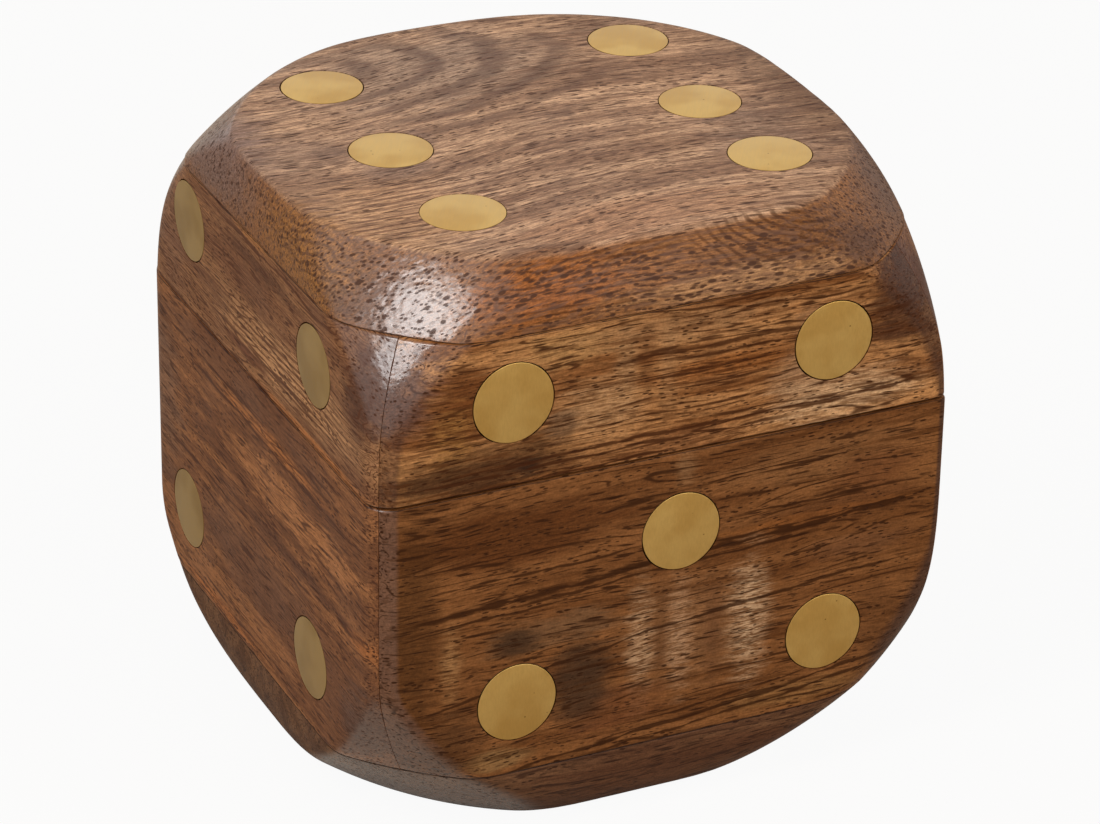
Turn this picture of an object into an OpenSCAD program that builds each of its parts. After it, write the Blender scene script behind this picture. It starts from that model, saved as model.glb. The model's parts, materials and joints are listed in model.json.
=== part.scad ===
// Dice box with a hinged lid: a hollow wooden die with flush brass pips.
// The box stands on its bottom board, with the front towards -Y and the hinges at +Y.
// All sizes are in millimetres. The origin is at the centre of the underside.

/* [Box] */
// Width of the closed box, left to right
box_w = 97; // [90:0.5:112]
// Depth of the closed box, front to back
box_d = 98.4; // [90:0.1:112]
// Thickness of the bottom board
base_board_t = 12.5; // [8:0.5:14]
// Height of the base's mitred frame
base_frame_h = 50; // [45:0.5:60]
// Height of the lid's mitred frame
lid_frame_h = 24.5; // [22:0.5:32]
// Thickness of the lid board
lid_board_t = 10; // [8:0.5:13]
// Thickness of the frame boards
wall = 11; // [9.5:0.5:13]
// Gap between the two rims when the lid is shut
rim_gap = 0.3; // [0.1:0.05:0.6]

/* [Rounding] */
// Radius of the upright edge at the front left
front_left_edge_r = 4.5; // [2:0.5:10]
// Radius of the upright edge at the front right
front_right_edge_r = 2.5; // [1.5:0.5:10]
// Radius of the two upright edges at the back
back_edge_r = 10; // [4:0.5:14]
// How far the rounding of the base stays inside the corners of the plain block
base_corner_cut = 13.5; // [9:0.1:15]
// How far the rounding of the lid's frame stays inside the same corners
lid_corner_cut = 15.5; // [9:0.1:16]
// Forward offset of the lid's rounding
lid_round_forward = 3.5; // [0:0.1:4.5]
// Leftward offset of the lid's rounding
lid_round_left = 0.7; // [0:0.1:3]
// Radius of the rounding at the corners of the lid board
lid_board_ball_r = 73.5; // [70:0.1:100]
// Step in from the frame to the lid board at the corners
lid_board_ledge = 0.3; // [0:0.05:1]
// How far the lid board's front edge is worked back at the top
lid_bevel_front = 5.8; // [2:0.1:8]
// How far the lid board's back edge is worked back at the top
lid_bevel_back = 4; // [1:0.1:8]
// How far the lid board's left edge is worked back at the top
lid_bevel_left = 2; // [1:0.1:7]
// How far the lid board's right edge is worked back at the top
lid_bevel_right = 2.5; // [1:0.1:7]
// How far the bottom board's front and back edges are worked back underneath
base_bevel_ends = 5.8; // [2:0.1:8]
// How far the bottom board's left edge is worked back underneath
base_bevel_left = 3.4; // [2:0.1:8]
// How far the bottom board's right edge is worked back underneath
base_bevel_right = 6; // [2:0.1:8]

/* [Glue lines] */
// Height of the fine groove where a board meets its frame
groove_h = 0.2; // [0.1:0.05:0.5]
// Depth of the same groove
groove_d = 0.35; // [0.1:0.05:0.8]

/* [Pips] */
// Diameter of a brass pip
pip_d = 13.1; // [9:0.1:14]
// Thickness of a brass pip
pip_t = 2.5; // [1.5:0.1:5]
// Gap all round a pip in its blind hole, filled with glue
pip_fit = 0.08; // [0.03:0.01:0.2]
// From a left or right edge, or an upright edge, to the centre of a pip
pip_inset_side = 22.1; // [19:0.1:28]
// From a front or back edge of the top, or a top or bottom edge, to the centre of a pip
pip_inset_end = 23.3; // [20:0.1:28]
// Rightward offset of the pips on the top, front, back and underside
pips_right = 1.6; // [0:0.1:2.5]
// Backward offset of the pips on the left and right sides
pips_back = 1.2; // [0:0.1:2.5]
// Upward offset of the pips on the four sides
pips_up = 2.2; // [0:0.1:2.5]

/* [Hinges] */
// Distance between the centres of the two hinges
hinge_spacing = 48; // [36:1:54]
// Length of a hinge along its pin
hinge_l = 18; // [14:0.5:20]
// Width of a leaf, from the pin's axis to its front edge
leaf_w = 8; // [6.8:0.1:9]
// Thickness of a leaf
leaf_t = 1; // [0.8:0.05:1.2]
// Outside diameter of the knuckles
knuckle_d = 3; // [2.6:0.1:3.6]
// Gap between neighbouring knuckles
knuckle_gap = 0.2; // [0.1:0.05:0.4]
// Diameter of the hinge pin
pin_d = 1.2; // [1:0.05:1.4]
// Running clearance round the pin
pin_fit = 0.05; // [0.02:0.01:0.1]
// Diameter of the pin's peened heads
pin_head_d = 1.9; // [1.6:0.05:2.4]
// Thickness of the pin's peened heads
pin_head_t = 0.5; // [0.3:0.05:0.8]
// Gap between the hinge and the wood that it is let into
mortise_fit = 0.2; // [0.1:0.05:0.3]
// Slope of the relief behind the pin on each rim, so that the lid can swing back
relief_angle = 52; // [51:0.5:60]

/* [Screws] */
// Distance between the two screws of a leaf
screw_spacing = 10; // [8:0.5:12]
// From the leaf's front edge to the screws
screw_inset = 3.4; // [2.6:0.1:3.6]
// Diameter of the screw's head
screw_head_d = 3; // [2.6:0.1:3.4]
// Height of the screw's countersunk head
screw_head_h = 0.8; // [0.6:0.05:0.8]
// Diameter of the screw's shank
screw_d = 1.6; // [1.2:0.1:2]
// Length of the screw, head included
screw_l = 8; // [5:0.5:12]
// Gap round the screw in the leaf and in the wood
screw_fit = 0.05; // [0.02:0.01:0.1]
// Width of the driver slot in the head
slot_w = 0.45; // [0.3:0.05:0.6]
// Depth of the driver slot in the head
slot_depth = 0.4; // [0.2:0.05:0.5]

/* [Hidden] */
$fn = 96;
// Overlap of a cutting shape past the face that it cuts
past = 1;

half_w = box_w / 2;
half_d = box_d / 2;
base_rim_z = base_board_t + base_frame_h;
lid_rim_z = base_rim_z + rim_gap;
lid_seam_z = lid_rim_z + lid_frame_h;
box_h = lid_seam_z + lid_board_t;
// Radius of a ball round the corners of the plain block
block_r = norm([box_w, box_d, box_h]) / 2;
// The rounding of the base is centred a little above the middle, so that it cuts the bottom more
base_ball_r = block_r - base_corner_cut;
base_ball_up = 4.6;
lid_ball_r = block_r - lid_corner_cut;
lid_ball_up = 1.1;
lid_ball_at = [-lid_round_left, -lid_round_forward, box_h / 2 + lid_ball_up];
base_ball_at = [0, 0, box_h / 2 + base_ball_up];
// Where the frame's rounding meets the lid board, the board starts one ledge further in
lid_seam_r = sqrt(pow(lid_ball_r, 2) - pow(lid_seam_z - lid_ball_at[2], 2)) - lid_board_ledge;
lid_board_ball_drop = sqrt(pow(lid_board_ball_r, 2) - pow(lid_seam_r, 2));
lid_board_ball_at = [-lid_round_left / 2, -lid_round_forward / 2, lid_seam_z - lid_board_ball_drop];

pip_x = half_w - pip_inset_side;
pip_y = half_d - pip_inset_side;
pip_top_y = half_d - pip_inset_end;
pip_z = box_h / 2 - pip_inset_end;
pip_mid_z = box_h / 2 + pips_up;
pip_hole_r = pip_d / 2 + pip_fit;

pin_y = half_d - knuckle_d / 2;
pin_z = base_rim_z + rim_gap / 2;
knuckle_l = (hinge_l - 2 * knuckle_gap) / 3;
knuckle_pitch = knuckle_l + knuckle_gap;
screw_y = pin_y - leaf_w + screw_inset;
sides = ["front", "right", "back", "left"];

// Each pip: node name, face, its place across and up that face from the middle,
// and how far the hand that set it strayed from there
pips = [
    ["pip_top_front_left", "top", -1, -1, [0.9, 0.2]],
    ["pip_top_mid_left", "top", -1, 0, [0, -0.4]],
    ["pip_top_back_left", "top", -1, 1, [-0.4, 0.5]],
    ["pip_top_front_right", "top", 1, -1, [0.6, 1.5]],
    ["pip_top_mid_right", "top", 1, 0, [-0.3, -2.1]],
    ["pip_top_back_right", "top", 1, 1, [0.1, -1]],
    ["pip_front_high_left", "front", -1, 1, [-1.2, 0.4]],
    ["pip_front_high_right", "front", 1, 1, [-0.4, 0.3]],
    ["pip_front_centre", "front", 0, 0, [0.9, -2]],
    ["pip_front_low_left", "front", -1, -1, [0, -0.5]],
    ["pip_front_low_right", "front", 1, -1, [0.1, -0.1]],
    ["pip_left_high_front", "left", -1, 1, [-0.1, 0.3]],
    ["pip_left_high_back", "left", 1, 1, [-2.8, 2.3]],
    ["pip_left_low_front", "left", -1, -1, [2.2, -0.8]],
    ["pip_left_low_back", "left", 1, -1, [0.1, -0.2]],
    ["pip_right_high_back", "right", 1, 1, [0, 0]],
    ["pip_right_centre", "right", 0, 0, [0, 0]],
    ["pip_right_low_front", "right", -1, -1, [0, 0]],
    ["pip_back_high_left", "back", -1, 1, [0, 0]],
    ["pip_back_low_right", "back", 1, -1, [0, 0]],
    ["pip_underside", "underside", 0, 0, [0, 0]]
];

// Outline of the block seen from above, drawn in by trim on every side
module outline(trim = 0) {
    w = half_w - trim;
    d = half_d - trim;
    front_r = [front_left_edge_r - trim, front_right_edge_r - trim];
    back_r = back_edge_r - trim;
    // The left half is the right one mirrored, with its own front radius
    for (i = [0, 1]) mirror([1 - i, 0]) {
        translate([0, -d + front_r[i]]) square([w, 2 * d - front_r[i] - back_r]);
        translate([0, -d]) square([w - front_r[i], front_r[i]]);
        translate([0, d - back_r]) square([w - back_r, back_r]);
        translate([w - front_r[i], -d + front_r[i]]) circle(r = front_r[i]);
        translate([w - back_r, d - back_r]) circle(r = back_r);
    }
}

// Everything inboard of a face whose edge curves in by drop over the board's thickness
module rounded_side(half, drop, thick) {
    r = (thick * thick + drop * drop) / (2 * drop);
    far = 2 * block_r;
    rotate([90, 0, 0]) linear_extrude(height = far, center = true) {
        translate([half - r, 0]) circle(r = r);
        translate([half - r - far, -thick]) square([far, 3 * thick]);
    }
}

// A top board lying on the plane z = 0, with edges worked back by drops = [front, right, back, left]
module worked_board(thick, drops) {
    intersection() {
        linear_extrude(height = thick) outline();
        rotate([0, 0, -90]) rounded_side(half_d, drops[0], thick);
        rounded_side(half_w, drops[1], thick);
        rotate([0, 0, 90]) rounded_side(half_d, drops[2], thick);
        rotate([0, 0, 180]) rounded_side(half_w, drops[3], thick);
    }
}

module ball(at, r) {
    translate(at) sphere(r = r);
}

// What a groove of the glue line takes off a board between two heights
module glue_groove(from_z, at, r) {
    translate([0, 0, from_z]) difference() {
        translate([0, 0, groove_h / 2]) cube([box_w + past, box_d + past, groove_h], center = true);
        intersection() {
            translate([0, 0, -past]) linear_extrude(height = groove_h + 2 * past) outline(groove_d);
            ball([at[0], at[1], at[2] - from_z], r - groove_d);
        }
    }
}

// Plan of one mitred board: its two ends run at 45 degrees from the outer corner inwards
module mitre_plan(side) {
    out = 2 * past;
    in = wall + past;
    x_out = half_w + out;
    y_out = half_d + out;
    x_in = half_w - in;
    y_in = half_d - in;
    corner_out = [[-x_out, -y_out], [x_out, -y_out], [x_out, y_out], [-x_out, y_out]];
    corner_in = [[-x_in, -y_in], [x_in, -y_in], [x_in, y_in], [-x_in, y_in]];
    i = search([side], sides)[0];
    j = (i + 1) % 4;
    polygon([corner_out[i], corner_out[j], corner_in[j], corner_in[i]]);
}

// The relief behind the hinge pins, which both rims share
module hinge_relief() {
    reach = knuckle_d + past;
    rise = reach * tan(relief_angle);
    translate([0, pin_y, pin_z]) rotate([90, 0, 90])
        linear_extrude(height = 2 * block_r, center = true)
            polygon([[0, 0], [reach, -rise], [reach, rise]]);
}

// Room for the barrels of both hinges, open to the back
module barrel_room() {
    for (side = [-1, 1])
        translate([side * hinge_spacing / 2, pin_y, pin_z]) rotate([0, 90, 0])
            cylinder(
                h = hinge_l + 2 * (pin_head_t + mortise_fit),
                r = knuckle_d / 2 + mortise_fit,
                center = true
            );
}

// Shallow recesses for the leaves and the screw holes under them, cut down from the plane z = 0
module leaf_mortises() {
    for (side = [-1, 1]) translate([side * hinge_spacing / 2, 0, 0]) {
        translate([-hinge_l / 2 - mortise_fit, pin_y - leaf_w - mortise_fit, -leaf_t])
            cube([hinge_l + 2 * mortise_fit, leaf_w + mortise_fit, leaf_t + past]);
        for (end = [-1, 1]) translate([end * screw_spacing / 2, screw_y, -screw_l - screw_fit])
            cylinder(h = screw_l, r = screw_d / 2 + screw_fit, $fn = 32);
    }
}

// Carries a shape from the plane z = 0, facing up, to the base's rim or, turned over, to the lid's
module to_base_rim() {
    translate([0, 0, base_rim_z]) children();
}

module to_lid_rim() {
    translate([0, 0, lid_rim_z]) mirror([0, 0, 1]) children();
}

// Four boards of a frame, from_z to to_z high, one of them drawn
module frame_board(side, from_z, to_z, at, r) {
    difference() {
        intersection() {
            translate([0, 0, from_z]) linear_extrude(height = to_z - from_z) intersection() {
                outline();
                mitre_plan(side);
            }
            ball(at, r);
        }
        translate([-half_w + wall, -half_d + wall, from_z - past])
            cube([box_w - 2 * wall, box_d - 2 * wall, to_z - from_z + 2 * past]);
        pip_holes(side);
        if (side == "back") {
            hinge_relief();
            barrel_room();
        }
    }
}

// Centre of a pip on the surface of its face, a being its place across and b its place up
function pip_at(face, a, b, stray) =
    face == "top" ? [pips_right + a * pip_x + stray[0], b * pip_top_y + stray[1], box_h] :
    face == "underside" ? [pips_right + a * pip_x + stray[0], b * pip_top_y + stray[1], 0] :
    face == "front" ? [pips_right + a * pip_x + stray[0], -half_d, pip_mid_z + b * pip_z + stray[1]] :
    face == "back" ? [pips_right + a * pip_x + stray[0], half_d, pip_mid_z + b * pip_z + stray[1]] :
    face == "left" ? [-half_w, pips_back + a * pip_y + stray[0], pip_mid_z + b * pip_z + stray[1]] :
    [half_w, pips_back + a * pip_y + stray[0], pip_mid_z + b * pip_z + stray[1]];

// Turn that points +Z out of a face
function face_turn(face) =
    face == "top" ? [0, 0, 0] :
    face == "underside" ? [180, 0, 0] :
    face == "front" ? [90, 0, 0] :
    face == "back" ? [-90, 0, 0] :
    face == "left" ? [0, -90, 0] :
    [0, 90, 0];

module on_face(p) {
    translate(pip_at(p[1], p[2], p[3], p[4])) rotate(face_turn(p[1])) children();
}

module pip_holes(face) {
    for (p = pips) if (p[1] == face)
        on_face(p) translate([0, 0, -pip_t]) cylinder(h = pip_t + past, r = pip_hole_r);
}

module pip(p) {
    color("goldenrod") on_face(p) translate([0, 0, -pip_t]) cylinder(h = pip_t, d = pip_d);
}

module base_board() {
    color("saddlebrown") difference() {
        intersection() {
            translate([0, 0, base_board_t]) mirror([0, 0, 1])
                worked_board(
                    base_board_t,
                    [base_bevel_ends, base_bevel_right, base_bevel_ends, base_bevel_left]
                );
            ball(base_ball_at, base_ball_r);
        }
        glue_groove(base_board_t - groove_h, base_ball_at, base_ball_r);
        pip_holes("underside");
    }
}

module lid_board() {
    color("peru") difference() {
        intersection() {
            translate([0, 0, lid_seam_z])
                worked_board(
                    lid_board_t,
                    [lid_bevel_front, lid_bevel_right, lid_bevel_back, lid_bevel_left]
                );
            ball(lid_board_ball_at, lid_board_ball_r);
        }
        glue_groove(lid_seam_z, lid_board_ball_at, lid_board_ball_r);
        pip_holes("top");
    }
}

module base_frame(side) {
    color(side == "front" || side == "back" ? "sienna" : "brown") difference() {
        frame_board(side, base_board_t, base_rim_z, base_ball_at, base_ball_r);
        if (side == "back") to_base_rim() leaf_mortises();
    }
}

module lid_frame(side) {
    color(side == "front" || side == "back" ? "chocolate" : "firebrick") difference() {
        frame_board(side, lid_rim_z, lid_seam_z, lid_ball_at, lid_ball_r);
        if (side == "back") to_lid_rim() leaf_mortises();
    }
}

// One countersunk screw hole through a leaf whose upper face is at z = 0
module screw_hole() {
    translate([0, 0, -screw_head_h - screw_fit])
        cylinder(
            h = screw_head_h + screw_fit,
            r1 = screw_d / 2 + screw_fit,
            r2 = screw_head_d / 2 + 2 * screw_fit,
            $fn = 32
        );
    translate([0, 0, -leaf_t - past]) cylinder(h = leaf_t + past, r = screw_d / 2 + screw_fit, $fn = 32);
    cylinder(h = past, r = screw_head_d / 2 + 2 * screw_fit, $fn = 32);
}

// One leaf facing up at the plane z = 0, with the pin's axis half a rim gap above it.
// knuckles lists which of the three places along the pin are this leaf's own.
module leaf(knuckles) {
    axis_z = rim_gap / 2;
    difference() {
        union() {
            translate([-hinge_l / 2, pin_y - leaf_w, -leaf_t]) cube([hinge_l, leaf_w, leaf_t]);
            for (k = knuckles) translate([k * knuckle_pitch, pin_y, axis_z]) rotate([0, 90, 0])
                cylinder(h = knuckle_l, d = knuckle_d, center = true);
        }
        for (k = [-1, 0, 1]) if (len(search(k, knuckles)) == 0)
            translate([k * knuckle_pitch, pin_y, axis_z]) rotate([0, 90, 0])
                cylinder(
                    h = knuckle_l + 2 * knuckle_gap,
                    r = knuckle_d / 2 + mortise_fit,
                    center = true
                );
        translate([0, pin_y, axis_z]) rotate([0, 90, 0])
            cylinder(h = hinge_l + 2 * past, r = pin_d / 2 + pin_fit, center = true, $fn = 32);
        for (end = [-1, 1]) translate([end * screw_spacing / 2, screw_y, 0]) screw_hole();
    }
}

module hinge_base_leaf(side) {
    color("gold") to_base_rim() translate([side * hinge_spacing / 2, 0, 0]) leaf([-1, 1]);
}

module hinge_lid_leaf(side) {
    color("khaki") to_lid_rim() translate([side * hinge_spacing / 2, 0, 0]) leaf([0]);
}

module hinge_pin(side) {
    color("darkgoldenrod") translate([side * hinge_spacing / 2, pin_y, pin_z]) rotate([0, 90, 0]) {
        cylinder(h = hinge_l + 2 * pin_head_t, d = pin_d, center = true, $fn = 32);
        for (end = [-1, 1]) translate([0, 0, end * (hinge_l + pin_head_t) / 2])
            cylinder(h = pin_head_t, d = pin_head_d, center = true, $fn = 32);
    }
}

// The four countersunk screws of two leaves that face up at the plane z = 0
module leaf_screws() {
    for (side = [-1, 1]) for (end = [-1, 1])
        translate([side * hinge_spacing / 2 + end * screw_spacing / 2, screw_y, -screw_fit])
            difference() {
                union() {
                    translate([0, 0, -screw_head_h])
                        cylinder(h = screw_head_h, d1 = screw_d, d2 = screw_head_d, $fn = 32);
                    translate([0, 0, -screw_l]) cylinder(h = screw_l - screw_head_h, d = screw_d, $fn = 32);
                }
                translate([-screw_head_d, -slot_w / 2, -slot_depth])
                    cube([2 * screw_head_d, slot_w, slot_depth + past]);
            }
}

module hinge_base_screws() {
    color("lightyellow") to_base_rim() leaf_screws();
}

module hinge_lid_screws() {
    color("wheat") to_lid_rim() leaf_screws();
}

base_board();
for (s = sides) base_frame(s);
lid_board();
for (s = sides) lid_frame(s);
hinge_base_leaf(-1);  // hinge_base_leaf_left
hinge_base_leaf(1);  // hinge_base_leaf_right
hinge_lid_leaf(-1);  // hinge_lid_leaf_left
hinge_lid_leaf(1);  // hinge_lid_leaf_right
hinge_pin(-1);  // hinge_pin_left
hinge_pin(1);  // hinge_pin_right
hinge_base_screws();
hinge_lid_screws();
for (p = pips) pip(p);
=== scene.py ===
import json
import math
import bmesh
import bpy
import numpy as np
from mathutils import Matrix, Vector

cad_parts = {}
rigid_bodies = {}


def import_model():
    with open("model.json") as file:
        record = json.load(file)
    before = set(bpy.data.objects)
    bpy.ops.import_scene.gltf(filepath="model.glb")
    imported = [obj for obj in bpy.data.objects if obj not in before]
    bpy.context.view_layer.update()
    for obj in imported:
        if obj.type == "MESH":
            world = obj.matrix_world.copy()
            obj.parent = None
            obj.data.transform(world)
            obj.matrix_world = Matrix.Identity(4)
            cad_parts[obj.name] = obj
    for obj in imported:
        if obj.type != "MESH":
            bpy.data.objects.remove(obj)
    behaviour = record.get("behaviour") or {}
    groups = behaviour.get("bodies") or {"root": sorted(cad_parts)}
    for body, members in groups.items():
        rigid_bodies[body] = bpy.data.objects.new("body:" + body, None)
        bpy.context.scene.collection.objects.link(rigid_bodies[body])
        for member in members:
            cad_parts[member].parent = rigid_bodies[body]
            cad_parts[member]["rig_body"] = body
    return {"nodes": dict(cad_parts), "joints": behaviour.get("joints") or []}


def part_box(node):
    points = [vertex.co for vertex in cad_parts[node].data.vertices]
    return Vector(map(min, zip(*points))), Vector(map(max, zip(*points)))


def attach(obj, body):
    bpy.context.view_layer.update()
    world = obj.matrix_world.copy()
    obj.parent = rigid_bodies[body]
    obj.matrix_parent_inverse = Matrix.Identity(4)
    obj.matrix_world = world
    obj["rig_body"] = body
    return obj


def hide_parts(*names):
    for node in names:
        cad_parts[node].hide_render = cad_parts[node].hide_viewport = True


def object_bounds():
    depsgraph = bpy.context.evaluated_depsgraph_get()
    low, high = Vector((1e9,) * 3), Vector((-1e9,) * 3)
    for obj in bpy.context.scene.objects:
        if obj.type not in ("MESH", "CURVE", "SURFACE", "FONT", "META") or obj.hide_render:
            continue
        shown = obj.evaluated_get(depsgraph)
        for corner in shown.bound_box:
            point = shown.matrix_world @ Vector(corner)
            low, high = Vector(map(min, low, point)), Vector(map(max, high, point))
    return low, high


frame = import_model()
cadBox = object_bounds()
print("frame loaded")

mm = 0.001
nodes = frame["nodes"]


def boxOf(name):
    low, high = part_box(name)
    return np.array(low), np.array(high)


def rgb(red, green, blue):
    return tuple(((c / 255 + 0.055) / 1.055) ** 2.4 if c > 10 else c / 255 / 12.92 for c in (red, green, blue)) + (1.0,)


# Heights and walls, read from the frame
halfWidth, halfDepth = cadBox[1][0], cadBox[1][1]
bottomSeam = boxOf("base_board")[1][2]
baseRim = boxOf("base_frame_front")[1][2]
lidRim = boxOf("lid_frame_front")[0][2]
topSeam = boxOf("lid_frame_front")[1][2]
topZ = boxOf("lid_board")[1][2]
innerX = -boxOf("base_frame_left")[1][0]
innerY = -boxOf("base_frame_front")[1][1]

# The hand-rounded outside: a block with rounded upright edges, a ball round each half, worked edges on the slabs
form = {
    "frontLeftEdge": 4.5 * mm,
    "frontRightEdge": 1.6 * mm,
    "backEdge": 10 * mm,
    "baseBall": (0, 0, 53.25 * mm, 71.0 * mm),
    "lidBall": (-0.7 * mm, -3.5 * mm, 49.75 * mm, 69.0 * mm),
    "slabBall": (-0.35 * mm, -1.75 * mm, 41.6 * mm, 73.5 * mm),
    # Extra radius of each ball in some directions, in degrees from the right towards the back
    "baseSwell": ((-45, 0.8 * mm), (135, 2.4 * mm), (180, 0.7 * mm)),
    "baseSoften": ((-45, 2.0 * mm), (135, 1.5 * mm)),       # extra blend of the base, by direction
    "lidSwell": ((-45, 0.5 * mm), (45, 0.4 * mm), (135, 0.2 * mm)),
    "slabSwell": ((-45, 0.5 * mm), (45, 0.75 * mm), (60, -0.6 * mm), (90, -1.1 * mm), (135, -0.5 * mm)),
    "lidStep": 0.3 * mm,     # the lid frame stands out this far under the top board
    "footTaper": ((-45, 0.2), (-135, 0.03), (-165, 0.08), (45, 0.08)),   # how fast the bottom board draws in with depth
    "slabDrop": {"front": 5.8 * mm, "back": 5.2 * mm, "left": 2.0 * mm, "right": 2.5 * mm},
    "baseDrop": {"front": 5.8 * mm, "back": 5.8 * mm, "left": 3.4 * mm, "right": 6.0 * mm},
    "slabBlend": 2.0 * mm,
    "lidBlend": 3.4 * mm,
    "baseBlend": 1.4 * mm,
    "bottomBlend": 1.6 * mm,
    "topArris": 0.45 * mm,
    "seamEase": 0.3 * mm,
    "mitreEase": 0.14 * mm,
}


def softMax(a, b, reach):
    near = np.maximum(reach - np.abs(a - b), 0) / reach
    return np.maximum(a, b) + near * near * reach / 4


def blockDistance(p):
    x, y = p[..., 0], p[..., 1]
    edge = np.where(y > 0, form["backEdge"], np.where(x > 0, form["frontRightEdge"], form["frontLeftEdge"]))
    ax, ay = np.abs(x) - halfWidth + edge, np.abs(y) - halfDepth + edge
    return np.hypot(np.maximum(ax, 0), np.maximum(ay, 0)) + np.minimum(np.maximum(ax, ay), 0) - edge


def byDirection(p, parts):
    way = np.arctan2(p[..., 1], p[..., 0])
    return sum(amount * np.maximum(np.cos(way - math.radians(degrees)), 0) ** 8 for degrees, amount in parts)


def ballDistance(p, ball, swell):
    x, y = p[..., 0], p[..., 1]
    radius = ball[3] + byDirection(p, swell)
    return np.sqrt((x - ball[0]) ** 2 + (y - ball[1]) ** 2 + (p[..., 2] - ball[2]) ** 2) - radius


def wornDistance(out, rise, half, drop, thick):
    radius = (thick * thick + drop * drop) / (2 * drop)
    return np.hypot(np.maximum(out - half + radius, 0), np.maximum(rise, 0)) - radius


def slabDistance(p, rise, thick, drops, ball, swell, blend):
    x, y = p[..., 0], p[..., 1]
    d = blockDistance(p)
    for out, half, side in ((-y, halfDepth, "front"), (y, halfDepth, "back"), (-x, halfWidth, "left"), (x, halfWidth, "right")):
        d = softMax(d, wornDistance(out, rise, half, drops[side], thick), 0.4 * mm)
    d = softMax(d, ballDistance(p, ball, swell), blend)
    return softMax(d, rise - thick, form["topArris"])


def baseFrameDistance(p):
    # The blend widens towards the bottom board, so that both meet without a step
    low = np.clip((22 * mm - p[..., 2]) / (22 * mm - bottomSeam), 0, 1)
    blend = form["baseBlend"] + low * (form["bottomBlend"] - form["baseBlend"])
    blend = blend + byDirection(p, form["baseSoften"])
    return softMax(blockDistance(p), ballDistance(p, form["baseBall"], form["baseSwell"]), blend)


def lidFrameDistance(p):
    # Near its top the frame follows the rounding of the top board
    d = softMax(blockDistance(p), ballDistance(p, form["lidBall"], form["lidSwell"]), form["lidBlend"])
    step = ballDistance(p, form["slabBall"], form["slabSwell"]) - form["lidStep"]
    return softMax(d, step, form["slabBlend"])


def lidSlabDistance(p):
    rise = p[..., 2] - topSeam
    return slabDistance(p, rise, topZ - topSeam, form["slabDrop"], form["slabBall"], form["slabSwell"], form["slabBlend"])


def baseSlabDistance(p):
    rise = bottomSeam - p[..., 2]
    x, y, z, radius = form["baseBall"]
    ball = (x, y, z, radius - byDirection(p, form["footTaper"]) * rise)
    blend = form["bottomBlend"] + byDirection(p, form["baseSoften"])
    return slabDistance(p, rise, bottomSeam, form["baseDrop"], ball, form["baseSwell"], blend)


def reach(start, way, distance, far=0.06):
    low, high = np.zeros(start.shape[:-1]), np.full(start.shape[:-1], far)
    for step in range(36):
        middle = (low + high) / 2
        inside = distance(start + way * middle[..., None]) < 0
        low, high = np.where(inside, middle, low), np.where(inside, high, middle)
    return low


def easing(gap, radius):
    inside = np.clip(radius - gap, 0, radius)
    return radius - np.sqrt(np.maximum(radius * radius - inside * inside, 0))


def loomMesh(name, grid, closed):
    rows, columns = grid.shape[:2]
    bm = bmesh.new()
    made = [[bm.verts.new(grid[i, j]) for j in range(columns)] for i in range(rows)]
    for i in range(rows if closed else rows - 1):
        k = (i + 1) % rows
        for j in range(columns):
            m = (j + 1) % columns
            if closed and m == 0:
                continue
            bm.faces.new((made[i][j], made[i][m], made[k][m], made[k][j]))
    if not closed:
        bm.faces.new(made[0][::-1])
        bm.faces.new(made[-1])
    return bm, made


def toObject(name, bm):
    bmesh.ops.recalc_face_normals(bm, faces=bm.faces)
    mesh = bpy.data.meshes.new(name)
    bm.to_mesh(mesh)
    bm.free()
    piece = bpy.data.objects.new(name, mesh)
    bpy.context.scene.collection.objects.link(piece)
    return piece


corners = {
    "front": ((-1, -1), (1, -1)),
    "right": ((1, -1), (1, 1)),
    "back": ((1, 1), (-1, 1)),
    "left": ((-1, 1), (-1, -1)),
}


def waver(along, seed):
    return 0.5 + 0.25 * np.sin(along * 310 + seed * 1.7) + 0.15 * np.sin(along * 820 + seed * 4.1) + 0.1 * np.sin(along * 1930 + seed)


def frameBoard(name, side, low, high, distance):
    first, last = corners[side]
    inner = np.array([innerX, innerY])
    a, b = np.array(first) * inner, np.array(last) * inner
    length = np.linalg.norm(b - a)
    ends = np.array([0, 0.05, 0.1, 0.18, 0.3, 0.5]) * mm / length
    t = np.concatenate([ends, np.linspace(0.9 * mm / length, 1 - 0.9 * mm / length, 150), 1 - ends[::-1]])
    rise = np.array([0, 0.04, 0.1, 0.18, 0.28, 0.4]) * mm
    z = np.concatenate([low + rise, np.linspace(low + 0.8 * mm, high - 0.8 * mm, int((high - low) / (0.8 * mm))), high - rise[::-1]])
    start = np.zeros((len(t), len(z), 3))
    start[..., :2] = (a + (b - a) * t[:, None])[:, None, :]
    start[..., 2] = z
    way = np.zeros_like(start)
    way[..., :2] = (np.array(first) + (np.array(last) - np.array(first)) * t[:, None])[:, None, :]
    run = reach(start, way, distance)
    along = t * length
    seam = form["seamEase"] * (0.6 + 0.8 * waver(along, low * 1000))[:, None]
    run = run - easing((z - low)[None, :], seam) - easing((high - z)[None, :], seam)
    endGap = np.minimum(along, length - along) * 1.3
    run = run - easing(endGap[:, None], form["mitreEase"] * (0.6 + 0.8 * waver(z, 3))[None, :])
    outer = start + way * run[..., None]
    inside = start[:, [-1, 0], :]
    bm, made = loomMesh(name, np.concatenate([outer, inside], axis=1), False)
    return toObject(name, bm)


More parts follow.
